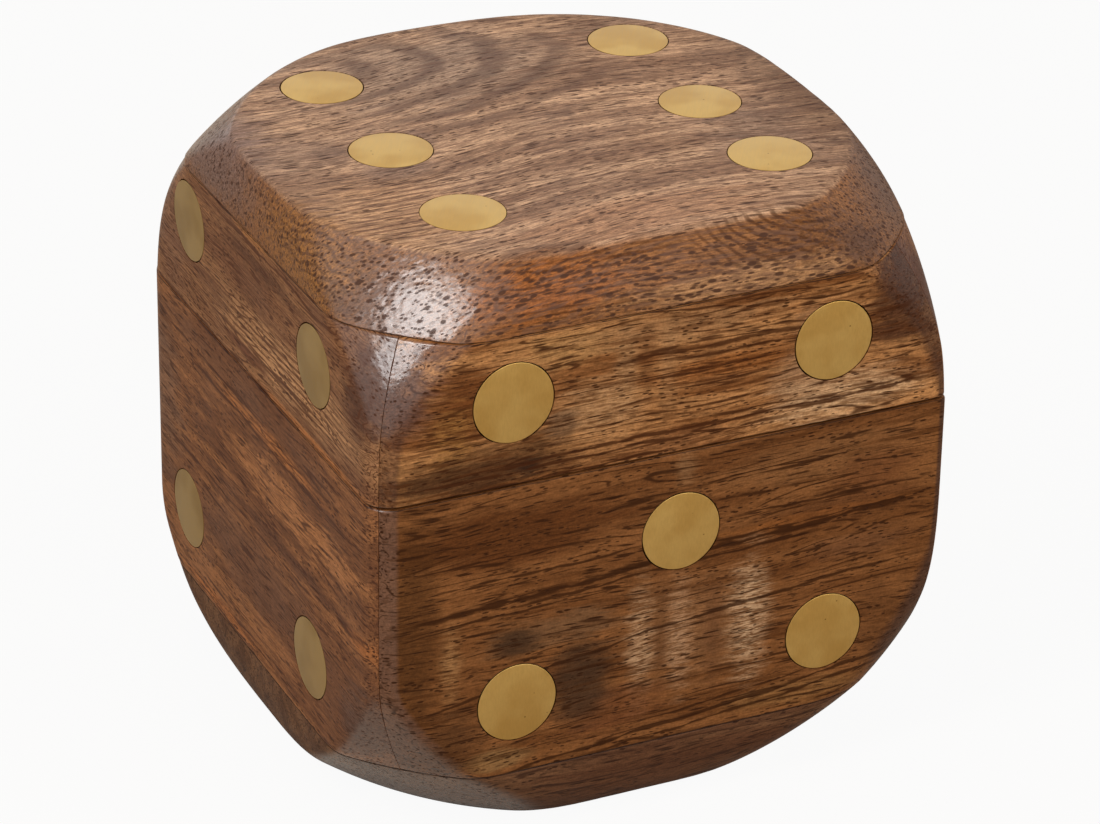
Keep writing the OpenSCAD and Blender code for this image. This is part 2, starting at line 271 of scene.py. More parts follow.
def slab(name, seam, face, distance):
    turn = np.linspace(0, 2 * math.pi, 384, endpoint=False)
    up = 1 if face > seam else -1
    thick = abs(face - seam)
    core = 32 * mm
    lift = np.radians(np.concatenate([[0, 0.15, 0.35, 0.7, 1.1, 1.6], np.linspace(2.4, 90, 60)]))
    spoke = np.stack([np.cos(turn), np.sin(turn)], 1)
    start = np.zeros((len(turn), len(lift), 3))
    start[..., :2] = (spoke * core)[:, None, :]
    start[..., 2] = seam
    way = np.zeros_like(start)
    way[..., :2] = spoke[:, None, :] * np.cos(lift)[None, :, None]
    way[..., 2] = up * np.sin(lift)
    run = reach(start, way, distance)
    skin = start + way * run[..., None]
    ease = easing(np.abs(skin[..., 2] - seam), form["seamEase"] * (0.6 + 0.8 * waver(turn * 0.05, 5))[:, None])
    skin[..., :2] -= spoke[:, None, :] * ease[..., None]
    flat = []
    for share in (0.66, 0.33):
        ring = np.zeros((len(turn), 1, 3))
        ring[..., :2] = (spoke * core * share)[:, None, :]
        ring[..., 2] = face
        flat.append(ring)
    under = []
    for share in (0.33, 0.66, 1.0):
        ring = np.zeros((len(turn), 1, 3))
        ring[..., :2] = (spoke * core * share)[:, None, :]
        ring[..., 2] = seam
        under.append(ring)
    grid = np.concatenate(under + [skin] + flat, axis=1)
    bm, made = loomMesh(name, grid, True)
    bm.verts.ensure_lookup_table()
    below, above = bm.verts.new((0, 0, seam)), bm.verts.new((0, 0, face))
    for i in range(len(turn)):
        k = (i + 1) % len(turn)
        bm.faces.new((made[i][0], made[k][0], below))
        bm.faces.new((made[k][-1], made[i][-1], above))
    return toObject(name, bm)


def cutWith(piece, cutters):
    for cutter in cutters:
        cut = piece.modifiers.new("cut", "BOOLEAN")
        cut.operation = "DIFFERENCE"
        cut.solver = "EXACT"
        cut.object = cutter
    graph = bpy.context.evaluated_depsgraph_get()
    mesh = bpy.data.meshes.new_from_object(piece.evaluated_get(graph))
    piece.modifiers.clear()
    piece.data = mesh
    for cutter in cutters:
        bpy.data.objects.remove(cutter)


def smooth(piece, angle=30):
    piece.data.shade_smooth()
    piece.data.set_sharp_from_angle(angle=math.radians(angle))


# Brass pips and the blind holes that they sit in
pipValues = {
    "segments": 96,
    "wander": 0.0035,      # how far the filed outline strays, as a share of the radius
    "rimRound": 0.07 * mm,
    "glueGap": 0.12 * mm,  # least gap round the disc
    "glueWander": 0.1 * mm,
}
pipNames = sorted(n for n in nodes if n.startswith("pip_"))


def pipPlace(name):
    low, high = boxOf(name)
    size = high - low
    axis = int(np.argmin(size))
    centre = (low + high) / 2
    face = 1 if centre[axis] > (0.05 if axis == 2 else 0) else -1
    normal = np.zeros(3)
    normal[axis] = face
    outside = centre.copy()
    outside[axis] = high[axis] if face > 0 else low[axis]
    return outside, normal, size[(axis + 1) % 3] / 2, size[axis]


def discGrid(name, place, normal, radii, depths):
    count = radii.shape[1]
    turn = np.linspace(0, 2 * math.pi, count, endpoint=False)
    axis = Vector(normal)
    side = Vector((0, 0, 1)) if abs(axis.z) < 0.5 else Vector((1, 0, 0))
    other = axis.cross(side)
    bm = bmesh.new()
    rings = []
    for radius, depth in zip(radii, depths):
        rings.append([
            bm.verts.new(Vector(place) - axis * depth + (side * math.cos(a) + other * math.sin(a)) * r)
            for a, r in zip(turn, radius)
        ])
    for one, two in zip(rings[:-1], rings[1:]):
        for i in range(count):
            k = (i + 1) % count
            bm.faces.new((one[i], one[k], two[k], two[i]))
    bm.faces.new(rings[0])
    bm.faces.new(rings[-1][::-1])
    return toObject(name, bm)


def filedOutline(seed, radius, share):
    turn = np.linspace(0, 2 * math.pi, pipValues["segments"], endpoint=False)
    rng = np.random.default_rng(seed)
    stray = sum(rng.normal(0, 1 / k) * np.cos(k * turn + rng.uniform(0, 6.28)) for k in range(2, 9))
    return radius * (1 + share * (stray - stray.max()))


def brassPip(name, index):
    place, normal, radius, depth = pipPlace(name)
    outline = filedOutline(100 + index, radius, pipValues["wander"])
    r = pipValues["rimRound"]
    steps = [(1.0, 0.0), (0.38, 0.076), (0.0, 0.38), (0.0, 1.0)]
    radii = [outline - r * (1 if i == 0 else s[0]) for i, s in enumerate(steps)] + [outline]
    depths = [0.0, 0.1 * r, 0.4 * r, r, depth]
    return discGrid(name + "_disc", place, normal, np.array(radii), depths)


def pipHole(name, index):
    place, normal, radius, depth = pipPlace(name)
    wall = filedOutline(300 + index, radius + pipValues["glueGap"] + pipValues["glueWander"], 0.006)
    return discGrid("hole", place, normal, np.array([wall, wall]), [-2 * mm, depth])


def pipsOn(prefixes):
    return [n for n in pipNames if any(n.startswith("pip_" + p) for p in prefixes)]


# Cuts in the back boards for the hinges
def boxCutter(low, high):
    bm = bmesh.new()
    bmesh.ops.create_cube(bm, size=1)
    size, middle = Vector(high) - Vector(low), (Vector(high) + Vector(low)) / 2
    bm.transform(Matrix.Translation(middle) @ Matrix.Diagonal((*size, 1)))
    return toObject("cutter", bm)


def rodCutter(start, end, radius, segments=48):
    bm = bmesh.new()
    axis = Vector(end) - Vector(start)
    bmesh.ops.create_cone(bm, cap_ends=True, segments=segments, radius1=radius, radius2=radius, depth=axis.length)
    turn = Vector((0, 0, 1)).rotation_difference(axis).to_matrix().to_4x4()
    bm.transform(Matrix.Translation((Vector(start) + Vector(end)) / 2) @ turn)
    return toObject("cutter", bm)


def reliefCutter(pinY, pinZ):
    reachOut, slope = 5 * mm, math.radians(52)
    bm = bmesh.new()
    ends = []
    for x in (-0.06, 0.06):
        ends.append([
            bm.verts.new((x, pinY, pinZ)),
            bm.verts.new((x, pinY + reachOut, pinZ - reachOut * math.tan(slope))),
            bm.verts.new((x, pinY + reachOut, pinZ + reachOut * math.tan(slope))),
        ])
    bm.faces.new(ends[0])
    bm.faces.new(ends[1][::-1])
    for i in range(3):
        k = (i + 1) % 3
        bm.faces.new((ends[0][i], ends[1][i], ends[1][k], ends[0][k]))
    return toObject("cutter", bm)


def hingeCutters(half):
    fit = 0.2 * mm
    cutters = []
    joint = frame["joints"][0]
    pin = boxOf("hinge_pin_left")
    pinY, pinZ = (pin[0][1] + pin[1][1]) / 2, (pin[0][2] + pin[1][2]) / 2
    cutters.append(reliefCutter(pinY, pinZ))
    for side in ("left", "right"):
        low, high = boxOf(f"hinge_{half}_leaf_{side}")
        pinLow, pinHigh = boxOf(f"hinge_pin_{side}")
        radius = high[1] - pinY
        cutters.append(rodCutter((pinLow[0] - fit, pinY, pinZ), (pinHigh[0] + fit, pinY, pinZ), radius + fit))
        if half == "base":
            top, under = baseRim + 1 * mm, baseRim - 1.0 * mm
        else:
            top, under = lidRim + 1.0 * mm, lidRim - 1 * mm
        cutters.append(boxCutter((low[0] - fit, low[1] - fit, under), (high[0] + fit, pinY, top)))
    screwLow, screwHigh = boxOf(f"hinge_{half}_screws")
    headRadius = 1.5 * mm
    screwY = (screwLow[1] + screwHigh[1]) / 2
    for side in ("left", "right"):
        low, high = boxOf(f"hinge_{half}_leaf_{side}")
        middle = (low[0] + high[0]) / 2
        spacing = abs(screwHigh[0] - headRadius - abs(middle)) if middle > 0 else abs(-screwLow[0] - headRadius - abs(middle))
        for end in (-1, 1):
            x = middle + end * spacing
            cutters.append(rodCutter((x, screwY, screwLow[2] - 0.05 * mm), (x, screwY, screwHigh[2] + 0.05 * mm), 0.85 * mm, 24))
    return cutters


print("building the boards")
boards = {}
for side in corners:
    for half, low, high, distance in (
        ("base", bottomSeam, baseRim, baseFrameDistance),
        ("lid", lidRim, topSeam, lidFrameDistance),
    ):
        name = f"{half}_frame_{side}"
        boards[name] = frameBoard(name + "_board", side, low, high, distance)
boards["lid_board"] = slab("lid_board_slab", topSeam, topZ, lidSlabDistance)
boards["base_board"] = slab("base_board_slab", bottomSeam, 0.0, baseSlabDistance)
print("boards shaped")

holes = {n: pipHole(n, i) for i, n in enumerate(pipNames)}
for name, piece in boards.items():
    half = "base" if name.startswith("base") else "lid"
    if name.endswith("_board"):
        mine = pipsOn(["top" if half == "lid" else "underside"])
    else:
        mine = pipsOn([name.split("_")[-1]])
    low, high = boxOf(name)
    cutters = []
    for n in mine:
        z = pipPlace(n)[0][2]
        if name.endswith("_board") or low[2] - 8 * mm < z < high[2] + 8 * mm:
            copy = holes[n].copy()
            copy.data = holes[n].data.copy()
            bpy.context.scene.collection.objects.link(copy)
            cutters.append(copy)
    if name.endswith("frame_back"):
        cutters += hingeCutters(half)
    cutWith(piece, cutters)
    smooth(piece)
    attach(piece, half)
    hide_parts(name)
for hole in holes.values():
    bpy.data.objects.remove(hole)
print("holes cut")

pips = {}
for i, n in enumerate(pipNames):
    pips[n] = brassPip(n, i)
    smooth(pips[n], 40)
    body = nodes[n]["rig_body"]
    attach(pips[n], body)
    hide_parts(n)
print("pips set")


# Shader groups
def newGroup(name, inputs, outputs):
    group = bpy.data.node_groups.new(name, "ShaderNodeTree")
    for label, kind, value in inputs:
        socket = group.interface.new_socket(name=label, in_out="INPUT", socket_type="NodeSocket" + kind)
        if value is not None:
            socket.default_value = value
    for label, kind in outputs:
        group.interface.new_socket(name=label, in_out="OUTPUT", socket_type="NodeSocket" + kind)
    return Wiring(group), group.nodes.new("NodeGroupInput").outputs, group.nodes.new("NodeGroupOutput").inputs


class Wiring:
    # Short calls that add one shader node each and link or set its inputs
    def __init__(self, tree):
        self.tree = tree

    def put(self, socket, value):
        if isinstance(value, bpy.types.NodeSocket):
            self.tree.links.new(value, socket)
        elif value is not None:
            socket.default_value = value

    def math(self, operation, a, b=None, c=None):
        node = self.tree.nodes.new("ShaderNodeMath")
        node.operation = operation
        for socket, value in zip(node.inputs, (a, b, c)):
            self.put(socket, value)
        return node.outputs[0]

    def times(self, a, b):
        return self.math("MULTIPLY", a, b)

    def vector(self, operation, a, b=None, scale=None):
        node = self.tree.nodes.new("ShaderNodeVectorMath")
        node.operation = operation
        self.put(node.inputs[0], a)
        if b is not None:
            self.put(node.inputs[1], b)
        if scale is not None:
            self.put(node.inputs["Scale"], scale)
        return node.outputs["Value"] if operation in ("LENGTH", "DOT_PRODUCT") else node.outputs[0]

    def join(self, x, y, z):
        node = self.tree.nodes.new("ShaderNodeCombineXYZ")
        for socket, value in zip(node.inputs, (x, y, z)):
            self.put(socket, value)
        return node.outputs[0]

    def split(self, vector):
        node = self.tree.nodes.new("ShaderNodeSeparateXYZ")
        self.put(node.inputs[0], vector)
        return node.outputs

    def stretched(self, vector, along, across):
        x, y, z = self.split(vector)
        return self.join(*(self.math("DIVIDE", a, b) for a, b in ((x, along), (y, across), (z, across))))

    def noise(self, vector, detail=2.0, roughness=0.5, colour=False):
        node = self.tree.nodes.new("ShaderNodeTexNoise")
        self.put(node.inputs["Vector"], vector)
        for label, value in (("Scale", 1.0), ("Detail", detail), ("Roughness", roughness)):
            node.inputs[label].default_value = value
        return node.outputs["Color" if colour else "Fac"]

    def cells(self, vector):
        node = self.tree.nodes.new("ShaderNodeTexVoronoi")
        self.put(node.inputs["Vector"], vector)
        node.inputs["Scale"].default_value = 1.0
        return node.outputs

    def ramp(self, value, low, high, toLow=0.0, toHigh=1.0):
        node = self.tree.nodes.new("ShaderNodeMapRange")
        node.interpolation_type = "SMOOTHSTEP"
        for socket, v in zip(node.inputs, (value, low, high, toLow, toHigh)):
            self.put(socket, v)
        return node.outputs[0]

    def mix(self, share, a, b, blend="MIX"):
        node = self.tree.nodes.new("ShaderNodeMix")
        node.data_type, node.blend_type = "RGBA", blend
        for socket, value in zip((node.inputs[0], node.inputs[6], node.inputs[7]), (share, a, b)):
            self.put(socket, value)
        return node.outputs[2]

    def group(self, tree, **values):
        node = self.tree.nodes.new("ShaderNodeGroup")
        node.node_tree = tree
        for label, value in values.items():
            self.put(node.inputs[label], value)
        return node.outputs


def buildGrainRun():
    w, i, out = newGroup(
        "grainRun",
        [("Vector", "Vector", (0, 0, 0)), ("Wander", "Float", 2.0), ("Ripple", "Float", 0.7), ("Shift", "Vector", (0, 0, 0))],
        [("Vector", "Vector")],
    )
    p = w.vector("ADD", i["Vector"], i["Shift"])
    bent = p
    for along, across, much in ((40, 15, i["Wander"]), (9, 2.2, i["Ripple"])):
        drift = w.noise(w.stretched(p, along, across), 1.0, 0.5, True)
        drift = w.vector("SCALE", w.vector("SUBTRACT", drift, (0.5, 0.5, 0.5)), scale=much)
        bent = w.vector("ADD", bent, w.vector("MULTIPLY", drift, (0, 1, 1)))
    w.put(out["Vector"], bent)
    return w.tree


def buildStreaks():
    w, i, out = newGroup(
        "grainStreaks",
        [("Vector", "Vector", (0, 0, 0)), ("Across", "Float", 1.2), ("Along", "Float", 22.0),
         ("Start", "Float", 0.56), ("Full", "Float", 0.68)],
        [("Mask", "Float")],
    )
    value = w.noise(w.stretched(i["Vector"], i["Along"], i["Across"]), 3.0, 0.55)
    w.put(out["Mask"], w.ramp(value, i["Start"], i["Full"]))
    return w.tree


def buildGrowthLines():
    w, i, out = newGroup(
        "growthLines",
        [("Vector", "Vector", (0, 0, 0)), ("Across", "Float", 3.0), ("Along", "Float", 45.0), ("Levels", "Float", 9.0),
         ("Width", "Float", 0.16), ("Broken", "Float", 0.42)],
        [("Mask", "Float")],
    )
    field = w.noise(w.stretched(i["Vector"], i["Along"], i["Across"]), 1.5, 0.4)
    away = w.math("ABSOLUTE", w.math("SUBTRACT", w.math("FRACT", w.times(field, i["Levels"])), 0.5))
    line = w.ramp(away, i["Width"], w.times(i["Width"], 0.25))
    whole = w.noise(w.stretched(i["Vector"], 7.0, 0.9), 2.0, 0.5)
    w.put(out["Mask"], w.times(line, w.ramp(whole, i["Broken"], w.math("ADD", i["Broken"], 0.12))))
    return w.tree


def buildGrainLine():
    w, i, out = newGroup(
        "grainLine",
        [("Vector", "Vector", (0, 0, 0)), ("Course", "Vector", (0, 0, 0)), ("Ends", "Vector", (-50, 50, 8)),
         ("Width", "Float", 0.4), ("Wobble", "Float", 0.0)],
        [("Mask", "Float")],
    )
    x, y, z = w.split(i["Vector"])
    height, slope, bend = w.split(i["Course"])
    left, right, fade = w.split(i["Ends"])
    middle = w.math("ADD", w.math("ADD", height, w.times(x, slope)), w.times(w.times(x, x), bend))
    away = w.math("ABSOLUTE", w.math("SUBTRACT", w.math("ADD", z, i["Wobble"]), middle))
    ends = w.times(w.ramp(x, left, w.math("ADD", left, fade)), w.ramp(x, right, w.math("SUBTRACT", right, fade)))
    thick = w.noise(w.stretched(i["Vector"], 5.0, 1.5), 2.0, 0.6)
    width = w.times(i["Width"], w.ramp(thick, 0.3, 0.7, 0.25, 1.6))
    w.put(out["Mask"], w.times(ends, w.ramp(away, width, w.times(width, 0.3))))
    return w.tree


def buildPores():
    w, i, out = newGroup(
        "openPores",
        [("Vector", "Vector", (0, 0, 0)), ("Across", "Float", 0.5), ("Along", "Float", 3.2),
         ("Size", "Float", 0.32), ("Amount", "Float", 0.8)],
        [("Mask", "Float")],
    )
    cell = w.cells(w.stretched(i["Vector"], i["Along"], i["Across"]))
    luck = w.split(cell["Color"])
    size = w.times(i["Size"], w.math("ADD", w.times(luck[1], 0.8), 0.55))
    spot = w.ramp(cell["Distance"], size, w.times(size, 0.55))
    w.put(out["Mask"], w.times(spot, w.math("LESS_THAN", luck[0], i["Amount"])))
    return w.tree


def buildPatch():
    w, i, out = newGroup(
        "softPatch",
        [("Vector", "Vector", (0, 0, 0)), ("Centre", "Vector", (0, 0, 0)), ("Size", "Vector", (10, 10, 10)),
         ("Edge", "Float", 0.7), ("Rough", "Float", 0.5), ("Ragged", "Float", 0.6)],
        [("Mask", "Float")],
    )
    away = w.vector("LENGTH", w.vector("DIVIDE", w.vector("SUBTRACT", i["Vector"], i["Centre"]), i["Size"]))
    away = w.math("ADD", away, w.times(w.math("SUBTRACT", i["Rough"], 0.5), w.times(i["Ragged"], 3.0)))
    w.put(out["Mask"], w.ramp(away, 1.15, w.math("SUBTRACT", 1.15, i["Edge"])))
    return w.tree


def buildYearRings():
    w, i, out = newGroup(
        "yearRings",
        [("Vector", "Vector", (0, 0, 0)), ("Pith", "Vector", (0, 0, -60)), ("Squeeze", "Vector", (0.1, 1, 1)),
         ("Spacing", "Float", 6.0), ("Wander", "Float", 1.6), ("Sharp", "Float", 0.5)],
        [("Mask", "Float")],
    )
    away = w.vector("LENGTH", w.vector("MULTIPLY", w.vector("SUBTRACT", i["Vector"], i["Pith"]), i["Squeeze"]))
    bend = w.noise(w.stretched(i["Vector"], 16.0, 7.0), 2.0, 0.55)
    away = w.math("ADD", away, w.times(w.math("SUBTRACT", bend, 0.5), w.times(i["Wander"], 4.0)))
    wave = w.math("SINE", w.times(w.math("DIVIDE", away, i["Spacing"]), 2 * math.pi))
    w.put(out["Mask"], w.ramp(w.math("ADD", w.times(wave, 0.5), 0.5), i["Sharp"], 1.0))
    return w.tree


def buildGlueLine():
    w, i, out = newGroup(
        "glueLine",
        [("Vector", "Vector", (0, 0, 0)), ("Facing", "Vector", (1, 0, 0)), ("Height", "Float", 0.0), ("Width", "Float", 0.25)],
        [("Mask", "Float")],
    )
    away = w.math("ABSOLUTE", w.math("SUBTRACT", w.split(i["Vector"])[2], i["Height"]))
    rough = w.noise(w.vector("SCALE", i["Vector"], scale=0.8), 2.0, 0.6)
    width = w.times(i["Width"], w.math("ADD", 0.35, w.times(rough, 1.3)))
    level = w.ramp(w.math("ABSOLUTE", w.split(i["Facing"])[2]), 0.95, 0.7)  # a flat ledge stays clean
    w.put(out["Mask"], w.times(level, w.ramp(away, width, w.times(width, 0.35))))
    return w.tree


grainRun = buildGrainRun()
grainStreaks = buildStreaks()
growthLines = buildGrowthLines()
grainLine = buildGrainLine()
openPores = buildPores()
softPatch = buildPatch()
yearRings = buildYearRings()
glueLine = buildGlueLine()
print("shader groups built")


def woodMaterial(name, values):
    material = bpy.data.materials.new(name)
    material.use_nodes = True
    tree = material.node_tree
    tree.nodes.clear()
    w = Wiring(tree)
    place = tree.nodes.new("ShaderNodeTexCoord")
    p = w.vector("SCALE", place.outputs["Object"], scale=1000.0)
    if values["crosswise"]:
        x, y, z = w.split(p)
        p = w.join(w.times(y, -1.0), x, z)
    g = w.group(grainRun, Vector=p, Wander=values["wander"], Ripple=values["ripple"], Shift=values["shift"])["Vector"]
    if "flow" in values:
        # The grain of the top runs in slow waves and tilts where the arches pass
        x, y, z = w.split(g)
        sway = w.times(w.math("COSINE", w.times(w.math("ADD", x, values["flow"][0]), math.pi / values["flow"][1])), values["flow"][2])
        g = w.join(x, w.math("ADD", y, sway), z)
    # Broad tone in bands along the grain
    tone = w.noise(w.stretched(g, values["bands"][1], values["bands"][0]), 3.0, 0.55)
    colour = w.mix(w.ramp(tone, 0.36, 0.64), values["dark"], values["light"])
    rough = w.noise(w.stretched(g, 11.0, 1.4), 4.0, 0.65)
    fibre = w.noise(w.stretched(g, 2.2, 0.26), 2.0, 0.6)
    thread = w.ramp(fibre, 0.35, 0.6)
    nx, ny, nz = w.split(place.outputs["Normal"])
    # Marks of the frame boards stay on their outer faces
    depth = w.math("ABSOLUTE", w.split(p)[1])
    marked = w.ramp(depth, values["markFrom"], values["markFrom"] + 2.0)
    marked = w.math("MAXIMUM", w.times(marked, w.ramp(w.math("ABSOLUTE", nz), 0.97, 0.85)), values["markLevel"])
    for centre, size, shade, strength, ragged, edge, threads in values["patches"]:
        mask = w.group(softPatch, Vector=p, Centre=centre, Size=size, Rough=rough, Ragged=ragged, Edge=edge)["Mask"]
        if threads:
            mask = w.times(mask, w.ramp(thread, 0.0, 1.0, 1 - threads, 1.0))
        colour = w.mix(w.times(w.times(mask, marked), strength), colour, shade)
    for r in values["rings"]:
        mask = w.group(yearRings, Vector=p, Pith=r["pith"], Squeeze=r["squeeze"], Spacing=r["spacing"],
                       Wander=r["wander"], Sharp=r["sharp"])["Mask"]
        inside = w.group(softPatch, Vector=p, Centre=r["centre"], Size=r["size"], Rough=rough, Ragged=0.3)["Mask"]
        if "broken" in r:
            inside = w.times(inside, w.ramp(rough, r["broken"], r["broken"] + 0.12))
        if "threads" in r:
            inside = w.times(inside, w.ramp(thread, 0.0, 1.0, 1 - r["threads"], 1.0))
        mask = w.times(w.times(mask, inside), marked)
        colour = w.mix(w.times(mask, r["strength"]), colour, r["colour"])
    # Rounded upright corners get painted light by their normal: painted shade where a corner turns from the lamps,
    # painted sheen where it catches the pale surroundings
    upright = w.math("ABSOLUTE", w.times(nx, ny))
    bend = w.ramp(upright, 0.06, 0.24)
    for centre, size, shade, strength, ragged, edge, threads in values["corners"]:
        mask = w.group(softPatch, Vector=p, Centre=centre, Size=size, Rough=rough, Ragged=ragged, Edge=edge)["Mask"]
        colour = w.mix(w.times(w.times(mask, bend), strength), colour, shade)
    # Fine pale and dark fibres
    colour = w.mix(1.0, colour, w.ramp(fibre, 0.3, 0.7, 1 - values["fibre"], 1 + values["fibre"]), "MULTIPLY")
    fleck = w.noise(w.vector("SCALE", p, scale=3.2), 1.0, 0.5)
    colour = w.mix(1.0, colour, w.ramp(fleck, 0.35, 0.65, 0.9, 1.1), "MULTIPLY")
    # Dark streaks, wavy growth lines and the lines that stand out on the real box
    streak = w.group(grainStreaks, Vector=g, **values["streaks"])["Mask"]
    colour = w.mix(w.times(streak, values["streakShade"]), colour, values["streak"])
    wavy = w.group(growthLines, Vector=g, **values["growth"])["Mask"]
    colour = w.mix(w.times(wavy, values["growthShade"]), colour, values["line"])
    wobble = w.times(w.math("SUBTRACT", w.noise(w.stretched(p, 15.0, 60.0), 2.0, 0.4), 0.5), 2.6)
    for course, ends, width, strength in values["lines"]:
        mask = w.group(grainLine, Vector=p, Course=course, Ends=ends, Width=width, Wobble=wobble)["Mask"]
        colour = w.mix(w.times(w.times(mask, marked), strength), colour, values["line"])
    # Open pores: long dashes, and short specks where the grain dips into the face
    dash = w.group(openPores, Vector=g, **values["dashes"])["Mask"]
    speck = w.group(openPores, Vector=w.vector("ADD", g, (31, 17, 5)), **values["specks"])["Mask"]
    zone = w.ramp(w.noise(w.stretched(p, 14.0, 5.0), 2.0, 0.5), 0.42, 0.58)
    dash = w.times(dash, w.ramp(zone, 0.0, 1.0, values["poreZone"], 1.0))
    speck = w.times(speck, w.ramp(zone, 1.0, 0.0, values["poreZone"], 1.0))
    pores = w.math("MAXIMUM", dash, speck)
    if "bevel" in values:
        # On the worked edge of the top board the pores are cut open and look larger
        low = w.ramp(w.split(p)[2], values["bevel"]["below"], values["bevel"]["below"] - 1.0)
        wide = w.group(openPores, Vector=w.vector("ADD", g, (5, 43, 11)), **values["bevel"]["pores"])["Mask"]
        pores = w.math("MAXIMUM", pores, w.times(wide, low))
    colour = w.mix(w.times(pores, values["poreShade"]), colour, values["pore"])
    for height in values["seams"]:
        mask = w.group(glueLine, Vector=p, Facing=place.outputs["Normal"], Height=height / mm, Width=values["seamWidth"])["Mask"]
        colour = w.mix(w.times(mask, 0.9), colour, rgb(30, 15, 8))
    shader = tree.nodes.new("ShaderNodeBsdfPrincipled")
    w.put(shader.inputs["Base Color"], colour)
    cloud = w.noise(w.vector("SCALE", p, scale=0.08), 2.0, 0.5)
    w.put(shader.inputs["Roughness"], w.ramp(cloud, 0.3, 0.7, values["rough"], values["rough"] + 0.12))
    shader.inputs["Specular IOR Level"].default_value = values["specular"]
    # Hands polish the upright edges and corners most, so the clear coat is thickest there
    coat = w.ramp(upright, 0.08, 0.3, values["gloss"], values["edgeGloss"])
    coat = w.math("ADD", coat, w.ramp(w.times(upright, w.math("ABSOLUTE", nz)), 0.05, 0.15, 0.0, values["cornerGloss"]))
    fade = w.ramp(w.split(p)[0], values["glossFade"][0], values["glossFade"][1], 1.0, values["glossFade"][2])
    coat = w.times(coat, fade)
    w.put(shader.inputs["Coat Weight"], w.times(coat, w.math("SUBTRACT", 1.0, w.times(pores, 0.85))))
    shader.inputs["Coat Roughness"].default_value = 0.2
    shader.inputs["Coat IOR"].default_value = 1.55
    height = w.math("ADD", w.times(pores, -1.0), w.times(fibre, 0.1))
    height = w.math("SUBTRACT", height, w.times(wavy, 0.12))
    lump = w.noise(w.stretched(p, 3.0, 1.6), 2.0, 0.5)
    height = w.math("ADD", height, w.times(lump, 1.1))
    ripple = w.noise(w.stretched(p, 2.4, 1.1), 1.0, 0.5)
    bump = tree.nodes.new("ShaderNodeBump")
    bump.inputs["Strength"].default_value = 0.8
    bump.inputs["Distance"].default_value = 0.06 * mm
    w.put(bump.inputs["Height"], height)
    w.put(shader.inputs["Normal"], bump.outputs[0])
    coatBump = tree.nodes.new("ShaderNodeBump")
    coatBump.inputs["Strength"].default_value = 0.8
    coatBump.inputs["Distance"].default_value = 0.07 * mm
    w.put(coatBump.inputs["Height"], w.math("ADD", ripple, lump))
    w.put(shader.inputs["Coat Normal"], coatBump.outputs[0])
    out = tree.nodes.new("ShaderNodeOutputMaterial")
    tree.links.new(shader.outputs[0], out.inputs["Surface"])
    return material


# A patch of an upright board: along and height of its middle, half sizes, colour, strength, how ragged
def onBoard(along, high, halfAlong, halfHigh, colour, strength=0.8, ragged=0.5, edge=0.8, threads=0.0):
    return (along, 0, high), (halfAlong, 1000, halfHigh), rgb(*colour), strength, ragged, edge, threads


def onSlab(centre, size, colour, strength=0.8, ragged=0.5, edge=0.8, threads=0.0):
    return centre, size, rgb(*colour), strength, ragged, edge, threads


# Close parallel growth lines over part of a board
def closeLines(along, high, halfAlong, halfHigh, colour, spacing=1.1, wander=0.4, strength=0.8, broken=0.4):
    return {"pith": (along, 0, high - 200), "squeeze": (0.05, 0, 1), "spacing": spacing, "wander": wander, "sharp": 0.45,
            "centre": (along, 0, high), "size": (halfAlong, 1000, halfHigh), "colour": rgb(*colour),
            "strength": strength, "broken": broken}


# A dark line of a board: height at the middle, slope, bend, from, to, width, strength
def darkLine(height, slope, bend, left, right, width=0.35, strength=0.85):
    return (height, slope, bend), (left, right, 8), width, strength


common = {
    "crosswise": False,
    "wander": 4.0,
    "ripple": 0.5,
    "fibre": 0.2,
    "bands": (4.0, 50.0),
    "streaks": {"Across": 1.1, "Along": 20.0, "Start": 0.55, "Full": 0.68},
    "streakShade": 0.55,
    "growth": {"Across": 3.0, "Along": 55.0, "Levels": 8.0, "Width": 0.14, "Broken": 0.44},
    "growthShade": 0.85,
    "dashes": {"Across": 0.52, "Along": 5.0, "Size": 0.34, "Amount": 0.8},
    "specks": {"Across": 0.5, "Along": 1.7, "Size": 0.35, "Amount": 0.85},
    "poreZone": 0.3,
    "poreShade": 0.9,
    "seamWidth": 0.24,
    "rough": 0.5,
    "specular": 0.06,
    "gloss": 0.03,
    "edgeGloss": 0.22,
    "cornerGloss": 0.78,
    "glossFade": (0.0, 24.0, 0.2),   # from, to, and the share of gloss left beyond
    "markFrom": 39.5,        # mm from the middle of the box
    "markLevel": 0.0,
    "patches": [],
    # painted shade and painted sheen on the rounded upright corners
    "corners": [],
    "rings": [],
    "lines": [],
}

